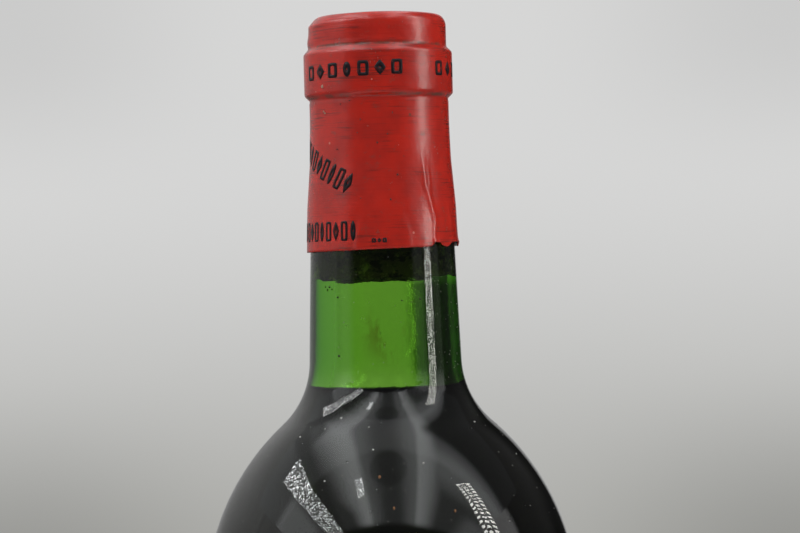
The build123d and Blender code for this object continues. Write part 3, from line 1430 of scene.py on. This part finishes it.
@dataclass
class Print:
    """Plain printed marks on the foil: frames, ovals and lozenges, and no letters."""

    capsule: Capsule
    finish: InkFinish = field(default_factory=InkFinish)
    proud: float = 0.03
    sunk: float = 0.06
    corners: int = 36
    least_hole: float = 0.03
    rows: tuple[MarkRow, ...] = (
        MarkRow((-62.7, 11.05), (14.7, 10.55), 7, 2.1, 3.0, 0.0, 0.62),
        MarkRow((54.0, 10.7), (139.0, 10.7), 7, 2.1, 3.0, 0.0, 0.62),
        MarkRow((174.0, 10.9), (259.0, 10.9), 7, 2.1, 3.0, 0.0, 0.62),
        MarkRow((-128.0, 20.8), (-26.4, 33.3), 14, 1.6, 4.4, 27.0, 0.55),
        MarkRow((-104.0, 42.8), (-22.0, 42.8), 12, 1.4, 3.9, 0.0, 0.46),
        MarkRow((-6.0, 44.8), (2.0, 44.8), 3, 0.75, 0.9, 0.0, 0.3))

    def mark(self, angle: float, depth: float, row: MarkRow, form: MarkForm) -> np.ndarray:
        """The rings of one mark, a thin closed tablet with a hole, bent over the foil.

        Formula: its edge is |x / a|^p + |y / b|^p = 1, with p the form's power, turned by
        the row's lean, laid on the unrolled foil and lifted to the foil's radius. The hole
        has the same form, narrower all round by the stroke or down to the hollow share.

        Args:
            angle: Angle of its middle in degrees.
            depth: Depth of its middle.
            row: The row that it belongs to.
            form: Its outline.

        Returns:
            Rings of points in metres: outer back, outer front, inner front, inner back.
        """
        turn = angles(self.corners)
        power = form.power
        reach = (np.abs(np.cos(turn)) ** power + np.abs(np.sin(turn)) ** power) ** (-1 / power)
        half = np.array([row.wide * form.width, row.tall]) / 2
        hole = half - row.stroke if form is MarkForm.FRAME else half * form.hollow
        unit = np.stack([reach * np.cos(turn), reach * np.sin(turn)])
        lean = math.radians(row.lean)
        spin = np.array([[math.cos(lean), math.sin(lean)], [-math.sin(lean), math.cos(lean)]])
        hole = np.maximum(hole, self.least_hole)
        edge, inner = spin @ (unit * half[:, None]), spin @ (unit * hole[:, None])
        flat = np.stack([edge, edge, inner, inner])
        lifts = np.array([-self.sunk, self.proud, self.proud, -self.sunk])[:, None]
        height = self.capsule.shape.height - depth + flat[:, 1]
        around = math.radians(angle) + flat[:, 0] / self.capsule.shape.neck_radius
        radius = self.capsule.radius_at(around, height) + lifts
        return around_axis(radius, around, height)

    def build(self, effects: Effects) -> bpy.types.Object:
        """Makes all the marks as one joined piece.

        Args:
            effects: The shared effects.

        Returns:
            The piece.
        """
        marks = []
        for row in self.rows:
            share = np.linspace(0, 1, row.count)
            for number in range(row.count):
                angle = row.start[0] + (row.end[0] - row.start[0]) * share[number]
                depth = row.start[1] + (row.end[1] - row.start[1]) * share[number]
                form = (MarkForm.FRAME, MarkForm.LOZENGE, MarkForm.FRAME, MarkForm.OVAL)[number % 4]
                marks.append(self.mark(angle, depth, row, form))
        return show(joined_hoops("foil_print", np.stack(marks)), "foil", self.finish.material(effects))


def joined_hoops(name: str, grids: np.ndarray) -> bpy.types.Mesh:
    """One mesh of many closed hoops, each a grid that closes both ways round.

    Args:
        name: The mesh's name.
        grids: Points in metres, by hoop, ring and place round the ring.

    Returns:
        The mesh.
    """
    count, rows, columns = grids.shape[:3]
    quads = grid_faces(rows + 1, columns) % (rows * columns)
    shift = np.arange(count)[:, None, None] * rows * columns
    return make_mesh(name, grids.reshape(-1, 3), (quads[None] + shift).reshape(-1, 4), NO_TRIANGLES)


def joined_rings(name: str, grids: np.ndarray) -> bpy.types.Mesh:
    """One mesh of many small closed solids, each given as the same number of rings.

    Args:
        name: The mesh's name.
        grids: Points in metres, by solid, ring (from the back) and place round the ring.

    Returns:
        The mesh, with both ends of each solid closed to a point.
    """
    count, rows, columns = grids.shape[:3]
    block = rows * columns + 2
    ends = grids[:, [0, -1]].mean(axis=2)
    points = np.concatenate([grids.reshape(count, -1, 3), ends], axis=1)
    ring = np.arange(columns)
    right = (ring + 1) % columns
    last = (rows - 1) * columns
    caps = np.concatenate([
        np.stack([right, ring, np.full(columns, block - 2)], axis=1),
        np.stack([last + ring, last + right, np.full(columns, block - 1)], axis=1)])
    shift = np.arange(count)[:, None, None] * block
    quads = (grid_faces(rows, columns)[None] + shift).reshape(-1, 4)
    return make_mesh(name, points.reshape(-1, 3), quads, (caps[None] + shift).reshape(-1, 3))


@dataclass
class Flecks:
    """Grains of dust or dirt lying on the glass, as one joined piece."""

    name: str
    finish: FleckFinish
    spots: np.ndarray
    size: Span
    seed: int
    slot: str = "green_glass"
    rows: int = 5
    columns: int = 8

    def build(self) -> bpy.types.Object:
        """Makes the grains.

        Formula: each is an ellipsoid with axes of random length, lumpy by a few percent,
        at a spot given in metres, half sunk in the surface there.

        Returns:
            The piece.
        """
        draw = np.random.default_rng(self.seed)
        count = len(self.spots)
        polar = np.linspace(0, math.pi, self.rows + 2)[1:-1]
        turn = angles(self.columns)
        ball = np.stack(np.broadcast_arrays(
            np.sin(polar)[:, None] * np.cos(turn), np.sin(polar)[:, None] * np.sin(turn),
            -np.cos(polar)[:, None]), axis=-1)
        axes = draw.uniform(*self.size, (count, 1, 1, 3)) * MM / 2
        lumps = draw.uniform(0.8, 1.2, (count, self.rows, self.columns, 1))
        grains = self.spots[:, None, None, :] + ball[None] * axes * lumps
        return show(joined_rings(self.name, grains), self.slot, self.finish.material())


@dataclass
class Litter:
    """All that lies on the glass and the foil: dust, crumbs, dirt, lint and scuffs.

    A spot on the glass is (angle in degrees, height), and one on the foil is (angle in
    degrees, depth below the rim). The dust is scattered, and the rest has its own spots.
    """

    shape: BottleShape
    capsule: Capsule
    dust_count: int = 420
    dust_heights: tuple[float, float, float] = (60.0, 215.0, 252.0)
    neck_dust_count: int = 46
    neck_dust_angles: Span = (40.0, 84.0)
    neck_dust_heights: Span = (225.0, 252.0)
    crumbs: tuple[Spot, ...] = ((-3.1, 209.5), (1.9, 203.7), (22.8, 202.7), (140.0, 206.0), (215.0, 196.0))
    dirt: tuple[Spot, ...] = (
        (-37.6, 244.1), (-36.6, 232.5), (13.9, 243.2), (-50.8, 246.2), (-48.5, 245.6), (-46.0, 246.2),
        (-43.5, 245.7), (28.9, 243.4), (120.0, 240.0), (185.0, 236.0))
    lint: tuple[Spot, ...] = (
        (56.0, 218.7), (69.9, 212.0), (-24.5, 208.8), (-48.4, 216.8), (14.7, 211.8), (-6.3, 214.5),
        (-9.6, 218.7), (-27.4, 220.4), (-34.7, 218.4))
    foil_dirt: tuple[Spot, ...] = (
        (6.5, 23.8), (11.0, 19.6), (-15.1, 20.8), (-1.7, 25.5), (-15.5, 36.4), (13.4, 31.9),
        (7.3, 36.8), (-32.3, 17.6), (-24.1, 17.0), (-36.4, 26.5), (-17.9, 23.4), (150.0, 28.0))
    scuffs: tuple[Spot, ...] = ((-49.7, 19.2), (-51.5, 18.8), (-47.5, 13.9))

    def on_glass(self, angle: np.ndarray, height: np.ndarray) -> np.ndarray:
        """Points in metres on the glass above its foot.

        Args:
            angle: Angle round the bottle in radians.
            height: Height in millimetres.

        Returns:
            The points.
        """
        outline = self.shape.outside()
        climbing = outline[np.argmax(outline[:, 0] >= self.shape.body_radius):]
        return around_axis(np.interp(height, climbing[:, 1], climbing[:, 0]), angle, height)

    def glass_spots(self, spots: tuple[Spot, ...]) -> np.ndarray:
        """Points in metres at spots on the glass."""
        return self.on_glass(np.radians([spot[0] for spot in spots]), np.array([spot[1] for spot in spots]))

    def foil_spots(self, spots: tuple[Spot, ...]) -> np.ndarray:
        """Points in metres at spots on the foil.

        Args:
            spots: Spots on the foil.

        Returns:
            The points.
        """
        angle = np.radians([spot[0] for spot in spots])
        height = self.shape.height - np.array([spot[1] for spot in spots])
        return around_axis(self.capsule.radius_at(angle, height), angle, height)

    def dust(self) -> np.ndarray:
        """Points in metres of the dust: thickest under the neck, and more on the neck's +X side.

        Returns:
            The points.
        """
        draw = np.random.default_rng(5)
        count, extra = self.dust_count, self.neck_dust_count
        everywhere = self.on_glass(draw.uniform(0, TURN, count), draw.triangular(*self.dust_heights, count))
        aside = np.radians(draw.uniform(*self.neck_dust_angles, extra))
        return np.concatenate(
            [everywhere, self.on_glass(aside, draw.uniform(*self.neck_dust_heights, extra))])

    def build(self) -> list[bpy.types.Object]:
        """Makes one piece of each kind.

        Returns:
            The pieces.
        """
        dust = FleckFinish("pale_dust", (0.42, 0.40, 0.36))
        crumb = FleckFinish("brown_crumb", (0.30, 0.13, 0.05))
        dirt = FleckFinish("dark_dirt", (0.03, 0.03, 0.012))
        lint = FleckFinish("white_lint", (0.75, 0.74, 0.70))
        grime = FleckFinish("foil_grime", (0.045, 0.018, 0.014))
        bare = FleckFinish("bare_foil", (0.55, 0.33, 0.24))
        return [kind.build() for kind in (
            Flecks("glass_dust", dust, self.dust(), (0.06, 0.20), 6),
            Flecks("glass_crumbs", crumb, self.glass_spots(self.crumbs), (0.35, 0.7), 7),
            Flecks("neck_dirt", dirt, self.glass_spots(self.dirt), (0.25, 0.5), 9),
            Flecks("glass_lint", lint, self.glass_spots(self.lint), (0.2, 0.4), 10),
            Flecks("foil_dirt", grime, self.foil_spots(self.foil_dirt), (0.2, 0.45), 11, "foil"),
            Flecks("foil_scuffs", bare, self.foil_spots(self.scuffs), (0.3, 0.8), 12, "foil"))]


# The studio


@dataclass(frozen=True)
class Lamp:
    """A flat lamp of small bright dots, seen only in reflections and by its light."""

    name: str
    start: Place
    end: Place
    width: float
    face: Place
    strength: float
    colour: Colour
    columns: int
    rows: int
    slant: float = 0.0
    inside: bool = False
    dot: Span = (0.40, 0.29)
    between_dots: float = 0.04

    def build(self) -> bpy.types.Object:
        """Makes the lamp's face between its two ends, turned towards the point `face`, with
        one of its last two corners drawn back by the slant. An `inside` lamp is seen only
        where light has come back out through the glass, and another only off its outside.

        Returns:
            The lamp.
        """
        start, end = np.array(self.start), np.array(self.end)
        along = end - start
        towards = np.array(self.face) - (start + end) / 2
        across = np.cross(along, towards)
        across = across / np.linalg.norm(across) * self.width / 2
        back = along / np.linalg.norm(along) * self.slant
        points = np.array([start - across, start + across, end + across, end - across - back])
        mesh = make_mesh(self.name, points, ONE_QUAD, NO_TRIANGLES)
        places = np.array([[0, 0], [1, 0], [1, 1], [0, 1]], dtype=np.float32)
        mesh.uv_layers.new(name="face").data.foreach_set("uv", places.ravel())
        lamp = placed(mesh, self.material())
        lamp.visible_camera = False
        lamp.visible_shadow = False
        lamp.visible_glossy = not self.inside
        lamp.visible_diffuse = not self.inside
        lamp.visible_transmission = self.inside
        return lamp

    def material(self) -> bpy.types.Material:
        """The glow: rows of dots, each second column shifted by half a row.

        Returns:
            The material.
        """
        material, graph, _ = new_material(self.name)
        u, v, _ = graph.axes(graph.add("ShaderNodeTexCoord").outputs["UV"])
        column = graph.product(u, float(self.columns))
        row = graph.line(v, float(self.rows), graph.product(graph.math("FLOOR", column), 0.5))
        dot = graph.product(self.cell(graph, column, self.dot[0]), self.cell(graph, row, self.dot[1]))
        light = graph.product(graph.between(dot, self.between_dots, 1.0), self.strength)
        emission = graph.add("ShaderNodeEmission", {"Color": self.colour, "Strength": light})
        clear = graph.add("ShaderNodeBsdfTransparent")
        both = graph.add("ShaderNodeAddShader", {0: emission.outputs[0], 1: clear.outputs[0]})
        graph.add("ShaderNodeOutputMaterial", {"Surface": both.outputs[0]})
        return material

    @staticmethod
    def cell(graph: Graph, count: Socket, half: float) -> Socket:
        """1 near the middle of each whole step of `count`."""
        off = graph.math("ABSOLUTE", graph.math("SUBTRACT", graph.math("FRACT", count), 0.5))
        return graph.step(off, half, half - 0.12)


@dataclass(frozen=True)
class Zone:
    """A stretch of the ceiling with soft edges.

    The spans across are of X and those along are of Y, and each gives where an edge
    begins and where it is complete.
    """

    across: tuple[Span, ...]
    along: tuple[Span, ...]
    light: float

    def share(self, graph: Graph, x: Socket, y: Socket) -> Socket:
        """1 within all the edges and 0 outside them."""
        return graph.product(*[graph.step(x, *span) for span in self.across],
                             *[graph.step(y, *span) for span in self.along])

    def glow(self, graph: Graph, x: Socket, y: Socket) -> Socket:
        """The zone's own light."""
        return graph.product(self.share(graph, x, y), self.light)

    def shade(self, graph: Graph, x: Socket, y: Socket) -> Socket:
        """The share of other light that is left: all of it outside the zone, `light` within."""
        return graph.between(self.share(graph, x, y), 1.0, self.light)


@dataclass(frozen=True)
class Brink:
    """The bright edge of a band: a faint rise over `fade` metres before the edge, and a
    steep one across it."""

    fade: float
    faint: float
    sharp: float
    bright: float

    def light(self, graph: Graph, out: Socket) -> Socket:
        """The light at a distance past the edge."""
        rise = graph.product(graph.step(out, -self.fade, 0.0), self.faint)
        return graph.line(graph.step(out, -self.sharp, self.sharp), self.bright, rise)


@dataclass(frozen=True)
class Ceiling:
    """A glowing ceiling that only reflections and light see.

    Seen from above with +Y up: two bright bands run along it, each with a sharp edge
    towards the middle and a soft one outwards. Between them is a dim lane with a round
    dark patch. A long lamp of many sparks lies left of them and a short one on the left
    band. It goes dark towards the camera, and behind the bottle on the right.
    """

    height: float = 1.31
    corner: Span = (-2.2, -1.6)
    size: Span = (4.2, 2.6)
    colour: Colour = (0.98, 1.0, 1.02)
    dim: float = 0.10
    front: Span = (-1.40, -1.22)
    lane: Span = (0.30, 0.62)
    lane_step: Span = (-0.27, -0.17)
    patch: Span = (0.0, -0.45)
    patch_edge: Span = (0.24, 0.19)
    patch_light: float = 0.65
    left_edge: float = -0.28
    left_bend: float = -0.046
    left_straight_at: float = -1.3
    left_brink: Brink = Brink(0.28, 0.8, 0.05, 1.4)
    left_fall: Span = (0.5, 0.05)
    left_fall_in_front: float = 0.36
    left_front: Span = (-0.7, -1.1)
    left_end: Span = (0.5, 0.3)
    right_edge: float = 0.29
    right_slope: float = -0.125
    right_brink: Brink = Brink(0.3, 0.9, 0.03, 1.15)
    right_fall: Span = (0.42, 0.03)
    right_tail: float = 0.38
    right_tail_along: Span = (-0.7, -0.3)
    far_left: Zone = Zone(((-1.15, -1.5),), ((0.05, -0.25), (-1.4, -0.9)), 1.0)
    near_right: Zone = Zone(((1.1, 1.6),), ((-0.6, -0.9),), 0.6)
    right_dark: Zone = Zone(((0.28, 0.4),), ((0.02, 0.2),), 0.07)
    tail_dark: Zone = Zone(((0.38, 0.55),), ((-0.14, 0.05),), 0.15)
    beside_lamp: Zone = Zone(((-1.10, -0.98), (-0.76, -0.88)), (), 0.65)
    short_lamp: Zone = Zone(((-0.425, -0.41), (-0.315, -0.33)), ((-0.79, -0.76), (-0.50, -0.53)), 1.0)
    short_sparks: Span = (125.0, 34.0)
    long_sparks: Span = (56.0, 27.0)
    long_outer: Span = (-0.1, -1.36)
    long_inner: Span = (-0.133, -1.02)
    long_straight_from: float = -0.3
    long_soft: float = 0.012
    long_end: Span = (0.42, 0.40)

    def left_band(self, graph: Graph, x: Socket, y: Socket) -> Socket:
        """The left band.

        Formula: its edge is x = left_edge + left_bend * (y - left_straight_at)^2. It
        falls off outwards, and faster in front.

        Args:
            graph: The ceiling's graph.
            x: Place across it.
            y: Place along it.

        Returns:
            The band's light.
        """
        bend = graph.math("POWER", graph.math("ABSOLUTE", graph.total(y, -self.left_straight_at)), 2.0)
        out = graph.math("SUBTRACT", graph.line(bend, self.left_bend, self.left_edge), x)
        far, near = self.left_fall
        reach = graph.between(graph.step(y, *self.left_front), far, self.left_fall_in_front)
        fall = graph.step(out, reach, near)
        return graph.product(fall, self.left_brink.light(graph, out), graph.step(y, *self.left_end))

    def right_band(self, graph: Graph, x: Socket, y: Socket) -> Socket:
        """The right band.

        Formula: its edge is x = right_edge + right_slope * y. Outwards it fades to a tail
        that is bright in the middle of the ceiling's length and gone in front.

        Args:
            graph: The ceiling's graph.
            x: Place across it.
            y: Place along it.

        Returns:
            The band's light.
        """
        out = graph.math("SUBTRACT", x, graph.line(y, self.right_slope, self.right_edge))
        tail = graph.product(graph.step(y, *self.right_tail_along), self.right_tail)
        fall = graph.math("MAXIMUM", graph.step(out, *self.right_fall), tail)
        light = graph.product(fall, self.right_brink.light(graph, out))
        return graph.product(light, self.tail_dark.shade(graph, x, y))

    def long_lamp(self, graph: Graph, x: Socket, y: Socket) -> Socket:
        """Where the long lamp is, between a straight outer edge and an inner one that leans
        only in front: each is x = slope * y + offset.

        Args:
            graph: The ceiling's graph.
            x: Place across it.
            y: Place along it.

        Returns:
            1 on the lamp and 0 off it.
        """
        slope, offset = self.long_inner
        leaning = graph.math("MINIMUM", graph.total(y, -self.long_straight_from), 0.0)
        inside = graph.math("SUBTRACT", graph.line(leaning, slope, offset), x)
        outside = graph.math("SUBTRACT", x, graph.line(y, *self.long_outer))
        edges = [graph.step(gap, -self.long_soft, 0.0) for gap in (outside, inside)]
        return graph.product(*edges, graph.step(y, *self.long_end))

    def sparks(self, graph: Graph, place: Socket, scale: float, strength: float) -> Socket:
        """Small cells of random brightness: strength times a random share's sixth power."""
        share = graph.cells(place, scale, 0.35)[1]
        return graph.line(graph.math("POWER", share, 6.0), strength, 0.4)

    def light(self, graph: Graph, place: Socket) -> Socket:
        """All of the ceiling's light.

        Args:
            graph: The ceiling's graph.
            place: The place on it.

        Returns:
            The strength of its glow.
        """
        x, y, _ = graph.axes(place)
        middle = graph.distance(place, (*self.patch, self.height))
        shade = graph.between(graph.step(middle, *self.patch_edge), 1.0, self.patch_light)
        lane = graph.between(graph.step(y, *self.lane_step), *self.lane)
        glow = graph.total(lane, self.left_band(graph, x, y), self.right_band(graph, x, y),
                           self.far_left.glow(graph, x, y), self.near_right.glow(graph, x, y))
        for dark in (self.right_dark, self.beside_lamp):
            shade = graph.product(shade, dark.shade(graph, x, y))
        glow = graph.product(glow, shade)
        long_lamp = graph.product(self.long_lamp(graph, x, y), self.sparks(graph, place, *self.long_sparks))
        short_lamp = graph.product(
            self.short_lamp.glow(graph, x, y), self.sparks(graph, place, *self.short_sparks))
        return graph.line(graph.total(glow, long_lamp, short_lamp), graph.step(y, *self.front), self.dim)

    def build(self) -> None:
        """Makes the ceiling and its glow."""
        (x0, y0), (wide, deep) = self.corner, self.size
        corners = [(x0, y0), (x0, y0 + deep), (x0 + wide, y0 + deep), (x0 + wide, y0)]
        points = np.array([(*corner, self.height) for corner in corners])
        mesh = make_mesh("ceiling", points, ONE_QUAD, NO_TRIANGLES)
        material, graph, place = new_material("ceiling")
        light = self.light(graph, place)
        emission = graph.add("ShaderNodeEmission", {"Color": self.colour, "Strength": light})
        graph.add("ShaderNodeOutputMaterial", {"Surface": emission.outputs[0]})
        ceiling = placed(mesh, material)
        ceiling.visible_camera = False
        ceiling.visible_shadow = False


@dataclass(frozen=True)
class Sector:
    """Light from the room between two azimuths, in degrees from the front towards +X: one
    value near the horizon and another some 25 degrees up."""

    start: float
    end: float
    low: float
    high: float
    soft: float = 3.0

    def share(self, graph: Graph, azimuth: Socket, raised: Socket) -> Socket:
        """The sector's light at an azimuth.

        Args:
            graph: The world's graph.
            azimuth: Degrees from the front towards +X.
            raised: 0 at the horizon and 1 higher up.

        Returns:
            The light.
        """
        rise = graph.step(azimuth, self.start - self.soft, self.start + self.soft)
        fall = graph.step(azimuth, self.end + self.soft, self.end - self.soft)
        return graph.product(rise, fall, graph.line(raised, self.high - self.low, self.low))


@dataclass
class Studio:
    """Pale floor, soft surroundings, ceiling, lamp and camera."""

    high_colour: Colour = (0.672, 0.672, 0.668)
    low_colour: Colour = (0.375, 0.375, 0.352)
    backdrop_rise: Span = (-0.13, 0.045)
    corner_across: Span = (0.04, 0.13)
    lower_corner: Span = (-0.03, -0.10)
    lower_corner_dark: float = 0.24
    upper_corner: Span = (0.02, 0.08)
    upper_corner_dark: float = 0.11
    room_rise: Span = (0.05, 0.42)
    floor_colour: Colour = (0.62, 0.62, 0.61)
    floor_rings: tuple[float, ...] = (0.3, 0.6, 0.9, 1.2, 1.5, 2.0)
    floor_segments: int = 96
    floor_fade: Span = (1.0, 1.9)
    floor_gloss: Colour = (0.07, 0.07, 0.07)
    floor_gloss_from: Span = (0.10, 0.3)
    floor_gloss_share: float = 0.85
    plain_light: float = 0.62
    dark: float = 0.02
    lens: float = 132.75
    distance: float = 0.597
    camera_height: float = 0.2499
    sideways: float = 0.0034
    roll: float = 1.5
    nearest: float = 0.01
    ceiling: Ceiling = field(default_factory=Ceiling)
    room: tuple[Sector, ...] = (
        Sector(-10.0, 48.0, 0.02, 0.06), Sector(48.0, 66.0, 0.22, 0.72), Sector(79.0, 97.0, 0.22, 1.15),
        Sector(97.0, 136.0, 0.05, 0.085, 8.0), Sector(136.0, 150.0, 0.0, 0.085, 8.0),
        Sector(164.0, 255.0, 0.36, 0.62), Sector(255.0, 282.0, 0.46, 0.6, 5.0),
        Sector(282.0, 308.0, 0.42, 1.3, 9.0), Sector(312.0, 380.0, 0.02, 0.10))
    behind: tuple[Sector, ...] = (
        Sector(166.0, 262.0, 0.60, 0.60, 5.0), Sector(190.0, 262.0, 0.10, 0.10, 12.0),
        Sector(262.0, 380.0, 0.30, 0.30), Sector(-10.0, 66.0, 0.12, 0.12),
        Sector(66.0, 166.0, 0.07, 0.07))
    lamps: tuple[Lamp, ...] = (
        Lamp("right_upright_lamp", (0.865, -0.248, 0.13), (0.865, -0.248, 1.27), 0.21, (0, 0, 0.5), 13.0,
             (1.0, 1.0, 0.94), 3, 25, 0.14),
        Lamp("inner_glint_lamp", (0.820, -0.370, 0.190), (0.600, -0.670, 0.42), 0.045, (0, 0, 0.24), 17.0,
             (1.0, 1.0, 0.9), 2, 40, 0.0, True))

    def build_floor(self) -> None:
        """A lit disc that turns clear towards its rim, where the backdrop takes over. Away from
        the bottle, gloss sees it as dim as the front of the room."""
        count = self.floor_segments
        ring, turn = np.arange(count), angles(count)
        radii = np.array(self.floor_rings)[:, None]
        points = np.stack(np.broadcast_arrays(radii * np.cos(turn), radii * np.sin(turn), 0 * radii), -1)
        points = np.concatenate([points.reshape(-1, 3), [[0, 0, 0]]])
        faces = grid_faces(len(radii), count)[:, ::-1]
        middle = np.stack([ring, (ring + 1) % count, np.full(count, len(points) - 1)], axis=1)
        mesh = make_mesh("floor", points, faces, middle)
        material, graph, place = new_material("floor")
        out = graph.vector("LENGTH", place).outputs["Value"]
        tone = graph.blend(graph.noise(place, 60.0, 3), self.floor_colour, shaded(self.floor_colour, 0.97))
        lit = graph.add("ShaderNodeBsdfPrincipled", {
            "Base Color": tone, "Roughness": 0.7, "Specular IOR Level": 0.2})
        clear = graph.add("ShaderNodeBsdfTransparent")
        mixed = graph.add("ShaderNodeMixShader", {
            0: graph.step(out, *self.floor_fade), 1: lit.outputs[0], 2: clear.outputs[0]})
        dim = graph.add("ShaderNodeEmission", {"Color": self.floor_gloss})
        glossy = graph.add("ShaderNodeLightPath").outputs["Is Glossy Ray"]
        share = graph.product(glossy, graph.step(out, *self.floor_gloss_from), self.floor_gloss_share)
        seen = graph.add("ShaderNodeMixShader", {0: share, 1: mixed.outputs[0], 2: dim.outputs[0]})
        graph.add("ShaderNodeOutputMaterial", {"Surface": seen.outputs[0]})
        floor = placed(mesh, material)

    def build_world(self) -> None:
        """The backdrop, the room that gloss and glass see, and plain light for the rest.

        The backdrop goes from low_colour to high_colour as the sine of the elevation goes
        over backdrop_rise, and is a little darker in its corners. Gloss and glass see the
        sectors of the room instead, each by its azimuth.
        """
        world = bpy.data.worlds.new("studio")
        world.use_nodes = True
        bpy.context.scene.world = world
        graph = Graph(world.node_tree)
        towards = graph.add("ShaderNodeTexCoord").outputs["Generated"]
        x, y, z = graph.axes(towards)
        upper = graph.product(graph.step(z, *self.upper_corner), self.upper_corner_dark)
        corner = graph.line(graph.step(z, *self.lower_corner), self.lower_corner_dark, upper)
        across = graph.step(graph.math("ABSOLUTE", x), *self.corner_across)
        aside = graph.math("SUBTRACT", 1.0, graph.product(across, corner))
        raised = graph.step(z, *self.room_rise)
        sky = graph.blend(graph.step(z, *self.backdrop_rise), self.low_colour, self.high_colour)
        azimuth = graph.math("FLOORED_MODULO", graph.azimuth(x, y), 360.0)
        gloss = graph.total(self.dark, *[sector.share(graph, azimuth, raised) for sector in self.room])
        clear = graph.total(self.dark, *[sector.share(graph, azimuth, raised) for sector in self.behind])
        path = graph.add("ShaderNodeLightPath")
        direct = graph.add("ShaderNodeBackground", {"Color": sky, "Strength": aside})
        plain = graph.add("ShaderNodeBackground", {"Color": WHITE, "Strength": self.plain_light})
        reflected = graph.add("ShaderNodeBackground", {"Color": WHITE, "Strength": gloss})
        refracted = graph.add("ShaderNodeBackground", {"Color": WHITE, "Strength": clear})
        look = plain
        for ray, shade in (("Is Glossy Ray", reflected), ("Is Transmission Ray", refracted),
                           ("Is Camera Ray", direct)):
            look = graph.add("ShaderNodeMixShader", {
                0: path.outputs[ray], 1: look.outputs[0], 2: shade.outputs[0]})
        graph.add("ShaderNodeOutputWorld", {"Surface": look.outputs[0]})

    def build_camera(self) -> None:
        """A level camera in front of the neck, rolled a little."""
        data = bpy.data.cameras.new("camera")
        data.sensor_width = 36.0
        data.lens = self.lens
        data.clip_start = self.nearest
        camera = placed(data)
        place = Matrix.Translation(Vector((self.sideways, -self.distance, self.camera_height)))
        level = Matrix.Rotation(math.pi / 2, 4, "X")
        camera.matrix_world = place @ level @ Matrix.Rotation(-math.radians(self.roll), 4, "Z")
        bpy.context.scene.camera = camera

    def build(self) -> None:
        """Builds everything in the studio."""
        self.build_camera()
        self.build_floor()
        self.build_world()
        self.ceiling.build()
        for lamp in self.lamps:
            lamp.build()
        bpy.context.scene.view_settings.view_transform = "Standard"


def main() -> None:
    """Builds the studio and the bottle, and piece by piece."""
    logging.basicConfig(level=logging.INFO, format="%(name)s: %(message)s")
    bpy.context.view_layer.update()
    Studio().build()
    effects = Effects()
    _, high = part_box("glass_bottle")
    shape = BottleShape(height=high.z / MM, body_radius=high.x / MM)
    cork_low, cork_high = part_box("cork")
    capsule = Capsule(shape)
    pieces = [
        GlassBottle(shape).build(effects),
        Wine(shape, level=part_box("wine")[1].z / MM).build(),
        Cork(shape, bottom=cork_low.z / MM, top=cork_high.z / MM).build(effects),
        capsule.build(effects),
        Print(capsule).build(effects),
        *Litter(shape, capsule).build(),
    ]
    for piece in pieces:
        mesh = piece.data
        LOG.info("%s: %d faces, %d material(s)", piece.name, len(mesh.polygons), len(mesh.materials))


if __name__ == "__main__":
    main()
